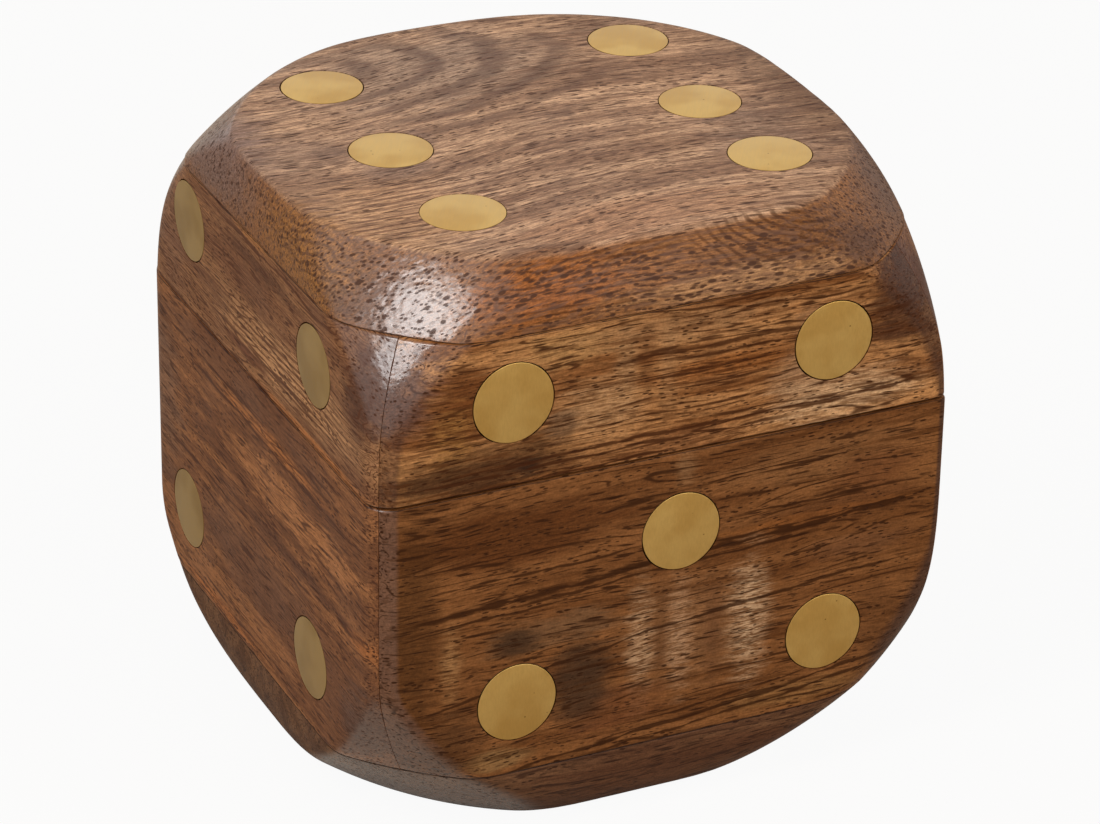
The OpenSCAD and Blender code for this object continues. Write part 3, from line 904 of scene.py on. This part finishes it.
woods = {
    "lid_board": dict(
        common,
        shift=(11, 3, 7),
        wander=3.0,
        flow=(22, 40, 2.3),
        # The flat top is painted paler than its worked edge: partly the wood's own tone, partly painted sheen of the
        # flat top
        light=rgb(196, 154, 120),
        dark=rgb(142, 106, 81),
        streaks={"Across": 0.6, "Along": 5.0, "Start": 0.5, "Full": 0.6},
        streakShade=0.55,
        streak=rgb(112, 79, 61),
        line=rgb(90, 60, 46),
        pore=rgb(72, 46, 34),
        fibre=0.34,
        growthShade=0.65,
        dashes={"Across": 0.62, "Along": 4.4, "Size": 0.36, "Amount": 0.9},
        specks={"Across": 0.6, "Along": 2.0, "Size": 0.36, "Amount": 0.85},
        gloss=0.1,
        markLevel=1.0,
        bevel={"below": 96.6, "pores": {"Across": 0.95, "Along": 2.3, "Size": 0.36, "Amount": 0.85}},
        patches=[
            onSlab((-34, -22, 97), (14, 16, 6), (186, 140, 101), 0.8),
            onSlab((-40, 4, 97), (9, 10, 5), (146, 114, 92), 0.7),
            onSlab((0, -37, 97), (24, 8, 5), (176, 128, 94), 0.75),
            onSlab((31, -18, 97), (11, 16, 6), (138, 109, 90), 0.75),
            onSlab((30, 36, 97), (13, 12, 7), (136, 104, 82), 0.75),
            onSlab((-8, 27, 97), (28, 17, 7), (156, 126, 103), 0.8),
            onSlab((-27, -7, 97), (7, 5, 3), (124, 98, 84), 0.6),
            onSlab((-19, 2, 97), (3, 5, 3), (128, 100, 84), 0.5),
            onSlab((6.5, 1.5, 97), (1.6, 2, 3), (84, 60, 48), 0.7),
            onSlab((-34, 3, 97), (4, 4, 4), (116, 88, 72), 0.6),
            # the worked edge all round is painted darker and more orange than the flat top: partly its own tone, partly
            # painted shade set against the top's painted sheen
            onSlab((0, 0, 88), (1000, 1000, 8), (138, 89, 50), 0.95, 0.0, 0.08),
            # painted shade: the right side of the worked edge is darkened where it turns from the lamps
            onSlab((46, -6, 92), (14, 60, 9), (96, 68, 50), 0.9, 0.2),
            onSlab((30, -50, 92), (24, 12, 9), (112, 72, 42), 0.9, 0.3),
            onSlab((-22, -50, 94), (18, 10, 7), (146, 84, 38), 0.85, 0.4),
            onSlab((12, -52, 89.4), (27, 9, 2.8), (176, 130, 90), 0.9, 0.5),
            onSlab((34, -47, 90.5), (6, 8, 3), (84, 54, 36), 0.8),
            onSlab((-50, -24, 93), (10, 22, 9), (150, 101, 55), 0.9, 0.3),
            # partly the wood's darker tone, partly painted sheen in purple brown on the front-left corner
            onSlab((-42, -40, 91), (10, 10, 8), (104, 70, 52), 0.75, 0.3),
            # painted sheen: greyish tone on the back of the left worked edge, where it catches the pale surroundings
            onSlab((-50, 18, 94), (12, 24, 9), (122, 96, 86), 0.9, 0.3),
            onSlab((-50, -35, 90), (7, 8, 3), (92, 62, 44), 0.7),
        ],
        seams=[topSeam],
        rings=[
            {"pith": (-30, 31, 97), "squeeze": (0.5, 1, 1), "spacing": 5.5, "wander": 1.0, "sharp": 0.35,
             "centre": (-4, 22, 97), "size": (30, 24, 8), "colour": rgb(88, 62, 50), "strength": 0.85, "threads": 0.75},
            {"pith": (-30, -400, 97), "squeeze": (0.02, 1, 0), "spacing": 1.5, "wander": 0.55, "sharp": 0.42, "broken": 0.4,
             "centre": (-28, -23, 97), "size": (22, 15, 5), "colour": rgb(100, 64, 46), "strength": 0.85},
            {"pith": (-30, -400, 97), "squeeze": (0.02, 1, 0), "spacing": 1.9, "wander": 0.8, "sharp": 0.55, "broken": 0.47,
             "centre": (6, -22, 97), "size": (36, 20, 5), "colour": rgb(104, 72, 56), "strength": 0.6},
            {"pith": (30, -40, 112), "squeeze": (1, 1, 1), "spacing": 1.5, "wander": 0.9, "sharp": 0.4,
             "centre": (18, -48, 95), "size": (17, 9, 4.6), "colour": rgb(72, 38, 14), "strength": 0.75},
            {"pith": (-20, 0, -100), "squeeze": (0.05, 0.1, 1), "spacing": 0.85, "wander": 0.45, "sharp": 0.4, "broken": 0.38,
             "centre": (-14, -48, 94), "size": (26, 9, 7), "colour": rgb(78, 40, 14), "strength": 0.85},
            {"pith": (-52, -30, 80), "squeeze": (0.6, 0.25, 1), "spacing": 1.3, "wander": 1.2, "sharp": 0.45,
             "centre": (-50, -26, 94), "size": (12, 22, 6), "colour": rgb(84, 50, 24), "strength": 0.65},
        ],
    ),
    "lid_frame_front": dict(
        common,
        shift=(3, 9, 21),
        light=rgb(178, 124, 76),
        dark=rgb(122, 74, 37),
        fibre=0.28,
        streaks={"Across": 0.6, "Along": 8.0, "Start": 0.52, "Full": 0.62},
        streakShade=0.6,
        streak=rgb(84, 44, 16),
        line=rgb(64, 30, 8),
        pore=rgb(58, 28, 8),
        seams=[topSeam, lidRim],
        patches=[
            onBoard(-18, 84, 10, 4, (170, 124, 76)),
            onBoard(2, 84, 20, 3.5, (164, 120, 80), 0.6),
            onBoard(-12, 73, 9, 6, (170, 128, 88), 0.8, 0.5, 0.9, 0.5),
            onBoard(9, 76, 14, 2.6, (150, 91, 44), 0.75),
            onBoard(22, 71, 6, 6, (158, 118, 84)),
            onBoard(30, 66.5, 15, 5.5, (196, 156, 116), 0.9, 0.5, 0.9, 0.5),
            onBoard(0, 64.5, 14, 2.4, (120, 74, 42), 0.7),
            # figure bands across the grain: partly the wood's figure, partly painted sheen, lighter and darker stripes
            # in place of the shimmer of the fibres
            onBoard(-7.5, 79, 2.4, 9, (172, 132, 92), 0.55, 0.35, 1.1, 0.6),
            onBoard(-0.5, 78, 2.3, 10, (164, 122, 82), 0.55, 0.35, 1.1, 0.6),
            onBoard(-4, 79, 1.6, 9, (96, 56, 28), 0.5, 0.35, 1.1, 0.3),
            onBoard(6, 78, 2.6, 9, (104, 62, 32), 0.4, 0.35, 1.1, 0.3),
            onBoard(-33, 77, 7, 9, (100, 55, 23), 0.85, 0.8),
            onBoard(-36, 71, 5, 8, (150, 104, 54), 0.75, 0.9, 0.9, 0.8),
            onBoard(-32, 65.6, 20, 4.6, (66, 38, 19), 0.9),
            onBoard(-26, 68.5, 11, 4, (88, 55, 29), 0.7),
            # partly the wood's tone, partly painted sheen in pinkish brown on the rounding near the front-left corner
            onBoard(-45, 82, 8, 9, (108, 74, 58), 0.9),
            onBoard(-23.5, 65, 2.6, 2.2, (44, 26, 16), 0.75, 0.8),
            onBoard(39, 81, 7, 10, (78, 47, 29), 0.9),
            onBoard(-18, 71.5, 3.4, 3.4, (92, 68, 50), 0.6),
            onBoard(24, 80, 4, 4, (116, 84, 60), 0.5),
        ],
        corners=[
            # painted shade: the right corner is darkened where it turns from the lamps; the rounding of the left corner
            # is painted darker too
            onBoard(50, 75, 16, 24, (72, 46, 34), 0.8, 0.2, 0.4),
            onBoard(-50, 72, 16, 14, (74, 46, 36), 0.6, 0.4, 0.6),
        ],
        rings=[
            closeLines(9, 75.5, 14, 3.4, (84, 42, 14), 1.05, 0.35),
            closeLines(0, 66, 44, 2.6, (60, 28, 8), 0.9, 0.5, 0.75, 0.46),
            closeLines(14, 84, 22, 3, (96, 54, 24), 1.2, 0.4, 0.6, 0.45),
        ],
        lines=[
            darkLine(79.6, 0.004, 0, -14, 48, 0.5),
            darkLine(78.3, -0.012, 0, -4, 34, 0.3),
            darkLine(80.7, 0.01, 0, 8, 48, 0.25),
            darkLine(75.6, 0.012, 0, -8, 24, 0.25),
            darkLine(73.4, 0.005, 0, -4, 20, 0.22),
            darkLine(66.4, 0.012, 0, -34, 48, 0.5),
            darkLine(65.1, 0.0, 0, -48, 24, 0.35),
            darkLine(67.8, -0.014, 0.0002, 2, 44, 0.3),
            darkLine(69.8, 0.01, 0, -20, 16, 0.22),
            darkLine(63.2, 0.004, 0, -48, 6, 0.3),
            darkLine(71.6, -0.03, 0, -46, -20, 0.3),
            darkLine(86.2, 0.004, 0, 4, 36, 0.22),
            darkLine(84.8, -0.01, 0, 10, 38, 0.25),
        ],
    ),
    "base_frame_front": dict(
        common,
        shift=(5, 2, 40),
        light=rgb(132, 84, 46),
        dark=rgb(104, 62, 30),
        streak=rgb(72, 38, 12),
        line=rgb(54, 26, 6),
        pore=rgb(52, 25, 6),
        seams=[bottomSeam, baseRim],
        patches=[
            onBoard(-25, 54, 24, 6.5, (90, 50, 21), 0.95, 0.35),
            onBoard(26, 56, 19, 5, (130, 86, 50), 0.8),
            onBoard(28, 46.6, 18, 1.3, (156, 94, 44), 0.8),
            onBoard(-18, 36.5, 13, 3.4, (116, 82, 54), 0.75, 0.7),
            onBoard(5, 31, 15, 11, (138, 96, 62), 0.7, 0.5, 0.9, 0.4),
            # figure bands across the grain: partly the wood's figure, partly painted sheen, lighter and darker stripes
            # in place of the shimmer of the fibres
            onBoard(-0.6, 30, 1.8, 12, (96, 60, 34), 0.6, 0.35, 1.1, 0.5),
            onBoard(-4, 30, 3.0, 13, (182, 144, 108), 0.85, 0.5, 1.1, 0.85),
            onBoard(2.7, 30, 2.8, 12, (172, 132, 98), 0.8, 0.5, 1.1, 0.85),
            onBoard(8.6, 30, 2.4, 12, (100, 62, 36), 0.7, 0.4, 1.0, 0.4),
            onBoard(14.8, 31, 4.6, 14, (190, 154, 118), 0.9, 0.5, 1.1, 0.85),
            onBoard(-36, 34, 2.4, 8, (156, 114, 72), 0.7, 0.5, 1.1, 0.8),
            onBoard(-8, 20, 10, 5, (112, 66, 36), 0.8),
            onBoard(34, 40, 11, 3, (118, 76, 46), 0.7),
            onBoard(38, 26, 5, 9, (104, 64, 34), 0.7),
            onBoard(24, 15.5, 15, 2.6, (142, 98, 56), 0.8),
            onBoard(-28, 15.5, 7, 2.4, (142, 106, 66), 0.7),
            onBoard(-42, 40, 5, 24, (76, 44, 18), 0.7, 0.4),
            onBoard(-36, 20, 7, 7, (82, 50, 26), 0.8),
            onBoard(-14, 26, 6.5, 8.5, (64, 44, 29), 0.85, 0.35),
            onBoard(-25, 35.5, 5, 3.4, (60, 40, 25), 0.85, 0.4),
            onBoard(-2, 12, 30, 1.3, (92, 56, 30), 0.7),
            # a figure band: partly the wood's figure, partly painted sheen
            onBoard(3, 59.5, 2.4, 4, (150, 112, 76), 0.5, 0.35, 1.1, 0.6),
            onBoard(36, 52, 9, 5, (108, 64, 34), 0.7),
            onBoard(30, 47, 16, 3, (92, 54, 28), 0.6),
        ],
        corners=[
            # painted shade on the right corner, which turns from the lamps, and painted sheen in pinkish grey on the
            # left corner
            onBoard(50, 40, 16, 40, (74, 49, 37), 0.85, 0.2, 0.4),
            onBoard(-50, 40, 16, 44, (108, 78, 64), 0.65, 0.3, 0.5),
        ],
        lines=[
            darkLine(44.3, 0.052, 0, -47, 48, 0.75, 0.9),
            darkLine(43.0, 0.05, 0, -30, 30, 0.35),
            darkLine(45.6, 0.03, 0, 2, 46, 0.3),
            darkLine(32.7, 0.13, -0.0011, -44, 46, 0.42),
            darkLine(41.6, 0.03, 0, -46, -4, 0.35),
            darkLine(49.8, -0.004, 0, 8, 47, 0.35),
            darkLine(51.0, 0.01, 0, -46, -10, 0.3),
            darkLine(47.6, 0.02, 0, -42, 0, 0.28),
            darkLine(56.8, 0.0, 0, 8, 34, 0.22),
            darkLine(15.3, 0.107, 0, -32, 46, 0.5),
            darkLine(13.9, 0.1, 0, -16, 42, 0.4),
            darkLine(16.9, 0.11, 0, -8, 30, 0.28),
            darkLine(26.2, 0.09, 0, 8, 24, 0.28),
            darkLine(27.6, 0.05, 0, -44, -32, 0.4),
        ],
    ),
    "lid_frame_left": dict(
        common,
        crosswise=True,
        glossFade=(900, 901, 1.0),
        shift=(31, 12, 3),
        light=rgb(150, 104, 68),
        dark=rgb(124, 82, 54),
        streak=rgb(92, 54, 34),
        line=rgb(84, 46, 26),
        pore=rgb(74, 42, 26),
        growth={"Across": 2.4, "Along": 50.0, "Levels": 14.0, "Width": 0.18, "Broken": 0.3},
        growthShade=0.85,
        gloss=0.08,
        seams=[topSeam, lidRim],
        patches=[
            onBoard(2, 87, 8, 0.9, (166, 110, 62), 0.85, 0.3),
            onBoard(-2, 78.5, 26, 3.2, (122, 80, 54), 0.8),
            onBoard(18, 70.5, 36, 6, (190, 140, 96), 0.9, 0.3),
            onBoard(5, 83.2, 20, 1.7, (92, 58, 40), 0.85),
            onBoard(-2, 66.4, 9, 1.3, (96, 54, 38), 0.8, 0.8),
            onBoard(24, 63.4, 26, 0.8, (178, 110, 58), 0.85, 0.3),
            onBoard(44, 80, 8, 10, (82, 52, 40), 0.9),
            onBoard(-34, 74, 9, 14, (126, 88, 66), 0.6),
        ],
        rings=[
            closeLines(14, 70, 34, 6.5, (92, 50, 26), 1.15, 0.5, 0.85, 0.3),
            closeLines(-5, 78.5, 26, 3, (88, 52, 34), 0.8, 0.3, 0.6, 0.35),
        ],
        lines=[
            darkLine(63.0, -0.01, 0, -46, 46, 0.4),
            darkLine(85.6, -0.01, 0, -20, 40, 0.35),
            darkLine(67.6, 0.0, 0, -20, 30, 0.3),
        ],
    ),
    "base_frame_left": dict(
        common,
        crosswise=True,
        glossFade=(900, 901, 1.0),
        shift=(1, 22, 13),
        light=rgb(150, 98, 60),
        dark=rgb(112, 70, 44),
        streaks={"Across": 0.6, "Along": 8.0, "Start": 0.53, "Full": 0.63},
        streak=rgb(82, 48, 32),
        line=rgb(76, 42, 26),
        pore=rgb(70, 40, 26),
        gloss=0.08,
        seams=[bottomSeam, baseRim],
        patches=[
            onBoard(0, 58.4, 48, 2.4, (112, 72, 48), 0.9, 0.3),
            onBoard(8, 55, 26, 1.7, (172, 108, 60), 0.85, 0.4),
            onBoard(18, 47, 28, 5, (172, 114, 70), 0.85, 0.8),
            onBoard(10, 38.4, 42, 2, (88, 54, 38), 0.8),
            onBoard(0, 28, 42, 7, (108, 70, 48), 0.85),
            onBoard(-14, 14.2, 20, 1.2, (172, 106, 58), 0.9, 0.4),
            onBoard(45, 37.5, 6, 2, (164, 100, 54), 0.7),
            onBoard(-38, 42, 8, 16, (122, 90, 70), 0.6),
            onBoard(44, 22, 9, 10, (90, 66, 56), 0.7),
        ],
        rings=[
            closeLines(10, 55.5, 40, 2.6, (84, 46, 26), 1.0, 0.4, 0.7, 0.4),
            closeLines(-5, 33, 36, 5, (72, 42, 28), 1.4, 0.6, 0.5, 0.45),
            closeLines(-10, 14.5, 30, 2, (84, 44, 24), 0.9, 0.3, 0.7, 0.4),
        ],
        lines=[
            darkLine(53.8, -0.01, 0, -30, 44, 0.4),
            darkLine(36.2, 0.01, 0, -40, 30, 0.35),
            darkLine(12.9, -0.01, 0, -30, 30, 0.35),
            darkLine(56.6, 0.0, 0, -44, 6, 0.3),
        ],
    ),
    "base_board": dict(
        common,
        shift=(7, 5, 9),
        light=rgb(116, 80, 54),
        dark=rgb(92, 60, 40),
        streak=rgb(66, 40, 26),
        line=rgb(58, 34, 22),
        pore=rgb(54, 32, 20),
        gloss=0.06,
        markLevel=1.0,
        seams=[bottomSeam],
        patches=[
            # partly the wood's tone, partly painted sheen in greyish brown on the front-left corner
            onSlab((-46, -44, 5), (16, 12, 9), (112, 88, 74), 0.8),
            onSlab((4, -48, 6), (34, 10, 8), (92, 56, 36), 0.7),
        ],
    ),
}
woods["lid_frame_right"] = dict(woods["lid_frame_left"], shift=(61, 32, 23), glossFade=(-901, -900, 0.2))
woods["base_frame_right"] = dict(woods["base_frame_left"], shift=(51, 2, 33), glossFade=(-901, -900, 0.2))
woods["lid_frame_back"] = dict(
    woods["lid_frame_front"],
    shift=(43, 59, 1),
    patches=[onBoard(20, 80, 26, 5, (160, 116, 72)), onBoard(-20, 68, 22, 4, (112, 70, 38))],
    corners=[],
    rings=[closeLines(-10, 76, 30, 4, (84, 42, 14), 1.1, 0.5)],
    lines=[darkLine(71.4, 0.01, 0, -40, 30, 0.4), darkLine(83.0, -0.02, 0, -20, 44)],
)
woods["base_frame_back"] = dict(
    woods["base_frame_front"],
    shift=(35, 72, 10),
    patches=[onBoard(-18, 50, 26, 6, (112, 68, 36)), onBoard(16, 24, 26, 7, (146, 98, 58))],
    corners=[],
    lines=[darkLine(40.0, -0.04, 0, -44, 40, 0.5), darkLine(30.4, 0.05, 0.0006, -30, 46), darkLine(18.0, 0.02, 0, -46, 20)],
)

for name, piece in boards.items():
    piece.data.materials.clear()
    piece.data.materials.append(woodMaterial(name + "_wood", woods[name]))
print("wood finished")


def brassMaterial(name, values):
    material = bpy.data.materials.new(name)
    material.use_nodes = True
    tree = material.node_tree
    tree.nodes.clear()
    w = Wiring(tree)
    place = tree.nodes.new("ShaderNodeTexCoord")
    p = w.vector("SCALE", place.outputs["Object"], scale=1000.0)
    cloud = w.noise(w.vector("SCALE", p, scale=0.12), 2.0, 0.5)
    colour = w.mix(w.ramp(cloud, 0.35, 0.65), values["bright"], values["dull"])
    x, y, z = w.split(p)
    slant = w.join(w.times(w.math("ADD", x, w.times(y, -0.6)), 4.0), w.times(w.math("ADD", y, z), 0.4), z)
    brush = w.noise(slant, 3.0, 0.6)
    colour = w.mix(1.0, colour, w.ramp(brush, 0.3, 0.7, 0.96, 1.04), "MULTIPLY")
    pit = w.cells(w.vector("SCALE", p, scale=0.5))
    spot = w.times(w.ramp(pit["Distance"], 0.09, 0.05), w.math("LESS_THAN", w.split(pit["Color"])[0], 0.3))
    colour = w.mix(w.times(spot, 0.6), colour, rgb(84, 60, 26))
    shader = tree.nodes.new("ShaderNodeBsdfPrincipled")
    w.put(shader.inputs["Base Color"], colour)
    shader.inputs["Metallic"].default_value = 1.0
    w.put(shader.inputs["Roughness"], w.ramp(brush, 0.3, 0.7, values["rough"] - 0.03, values["rough"] + 0.04))
    bump = tree.nodes.new("ShaderNodeBump")
    bump.inputs["Strength"].default_value = 0.4
    bump.inputs["Distance"].default_value = 0.02 * mm
    w.put(bump.inputs["Height"], w.math("SUBTRACT", w.times(brush, 0.2), spot))
    w.put(shader.inputs["Normal"], bump.outputs[0])
    out = tree.nodes.new("ShaderNodeOutputMaterial")
    tree.links.new(shader.outputs[0], out.inputs["Surface"])
    return material


pipBrass = brassMaterial("pip_brass", {"bright": rgb(203, 166, 98), "dull": rgb(190, 150, 82), "rough": 0.4})
# painted shade: the pips on the left face get a darker, duller copy of the same brass
shadedSidePipBrass = brassMaterial("side_pip_brass_painted_shade", {"bright": rgb(178, 147, 93), "dull": rgb(162, 130, 76), "rough": 0.42})
hingeBrass = brassMaterial("hinge_brass", {"bright": rgb(204, 168, 98), "dull": rgb(176, 138, 72), "rough": 0.36})
screwBrass = brassMaterial("screw_brass", {"bright": rgb(208, 174, 104), "dull": rgb(184, 146, 80), "rough": 0.3})
for name, piece in pips.items():
    piece.data.materials.clear()
    piece.data.materials.append(shadedSidePipBrass if name.startswith("pip_left") else pipBrass)
for name, node in nodes.items():
    if name.startswith("hinge"):
        brass = screwBrass if "screw" in name else hingeBrass
        for slot in node.material_slots:
            slot.material = brass
print("brass finished")

# Camera, from the photograph's viewpoint
cameraValues = {
    "place": (-285.08 * mm, -606.35 * mm, 390.80 * mm),
    "azimuth": -25.4404,
    "height": 27.1855,
    "roll": 0.984,
    "lens": 4669.36 / 1100 * 36,
}


def makeCamera(values):
    a, e, r = (math.radians(values[k]) for k in ("azimuth", "height", "roll"))
    back = Vector((math.sin(a) * math.cos(e), -math.cos(a) * math.cos(e), math.sin(e)))
    right = Vector((math.cos(a), math.sin(a), 0))
    up = back.cross(right)
    rolledRight = right * math.cos(r) + up * math.sin(r)
    rolledUp = -right * math.sin(r) + up * math.cos(r)
    data = bpy.data.cameras.new("camera")
    data.sensor_width = 36
    data.lens = values["lens"]
    data.clip_start, data.clip_end = 0.01, 50
    camera = bpy.data.objects.new("camera", data)
    camera.matrix_world = Matrix.Translation(values["place"]) @ Matrix((rolledRight, rolledUp, back)).transposed().to_4x4()
    bpy.context.scene.collection.objects.link(camera)
    bpy.context.scene.camera = camera


makeCamera(cameraValues)

# Studio: pale floor, even world and soft lamps
studio = {
    "floorColour": (0.5, 0.44, 0.36, 1),
    "floorShow": 0.94,      # how much of the floor the camera sees as plain white
    "floorShine": 0.1,      # and how much of that shows in brass and lacquer
    "ambient": 0.4,
    "lamps": [
        # name, azimuth from the front towards the left, height, distance, width, height of the lamp, watts
        ("key", 68, 52, 0.9, 0.26, 0.22, 2.5),
        ("keyLow", 67, 37, 0.9, 0.22, 0.14, 1.2),
        ("front", -25, 30, 1.2, 0.9, 0.9, 6.4),
        ("top", 150, 70, 1.1, 0.9, 0.9, 1.3),
    ],
}


def backdropShare(w, camera, mirrored):
    path = w.tree.nodes.new("ShaderNodeLightPath").outputs
    seen = w.math("MAXIMUM", path["Is Glossy Ray"], path["Is Transmission Ray"])
    return w.math("ADD", w.times(path["Is Camera Ray"], camera), w.times(seen, mirrored))


def makeWorld(values):
    world = bpy.data.worlds.new("studio")
    world.use_nodes = True
    bpy.context.scene.world = world
    tree = world.node_tree
    tree.nodes.clear()
    w = Wiring(tree)
    light = tree.nodes.new("ShaderNodeBackground")
    light.inputs["Color"].default_value = (1, 0.99, 0.97, 1)
    light.inputs["Strength"].default_value = values["ambient"]
    shown = tree.nodes.new("ShaderNodeBackground")
    shown.inputs["Color"].default_value = (1, 1, 1, 1)
    shown.inputs["Strength"].default_value = 1.0
    mixer = tree.nodes.new("ShaderNodeMixShader")
    w.put(mixer.inputs[0], backdropShare(w, 1.0, 1.0))
    tree.links.new(light.outputs[0], mixer.inputs[1])
    tree.links.new(shown.outputs[0], mixer.inputs[2])
    out = tree.nodes.new("ShaderNodeOutputWorld")
    tree.links.new(mixer.outputs[0], out.inputs["Surface"])


def makeFloor(values):
    bm = bmesh.new()
    bmesh.ops.create_circle(bm, cap_ends=True, segments=64, radius=6.0)
    floor = toObject("floor", bm)
    material = bpy.data.materials.new("floor_paper")
    material.use_nodes = True
    tree = material.node_tree
    tree.nodes.clear()
    w = Wiring(tree)
    paper = tree.nodes.new("ShaderNodeBsdfDiffuse")
    paper.inputs["Color"].default_value = values["floorColour"]
    white = tree.nodes.new("ShaderNodeEmission")
    white.inputs["Strength"].default_value = 1.0
    mixer = tree.nodes.new("ShaderNodeMixShader")
    w.put(mixer.inputs[0], backdropShare(w, values["floorShow"], values["floorShine"]))
    tree.links.new(paper.outputs[0], mixer.inputs[1])
    tree.links.new(white.outputs[0], mixer.inputs[2])
    out = tree.nodes.new("ShaderNodeOutputMaterial")
    tree.links.new(mixer.outputs[0], out.inputs["Surface"])
    floor.data.materials.append(material)


def makeLamp(name, azimuth, height, distance, width, tall, watts):
    a, e = math.radians(azimuth), math.radians(height)
    way = Vector((-math.sin(a) * math.cos(e), -math.cos(a) * math.cos(e), math.sin(e)))
    data = bpy.data.lights.new(name, "AREA")
    data.shape, data.size, data.size_y, data.energy = "RECTANGLE", width, tall, watts
    lamp = bpy.data.objects.new(name, data)
    lamp.location = Vector((0, 0, 0.05)) + way * distance
    lamp.rotation_mode = "QUATERNION"
    lamp.rotation_quaternion = (-way).to_track_quat("-Z", "Y")
    bpy.context.scene.collection.objects.link(lamp)


makeWorld(studio)
makeFloor(studio)
for lamp in studio["lamps"]:
    makeLamp(*lamp)
bpy.context.scene.view_settings.view_transform = "Standard"
print("studio set")
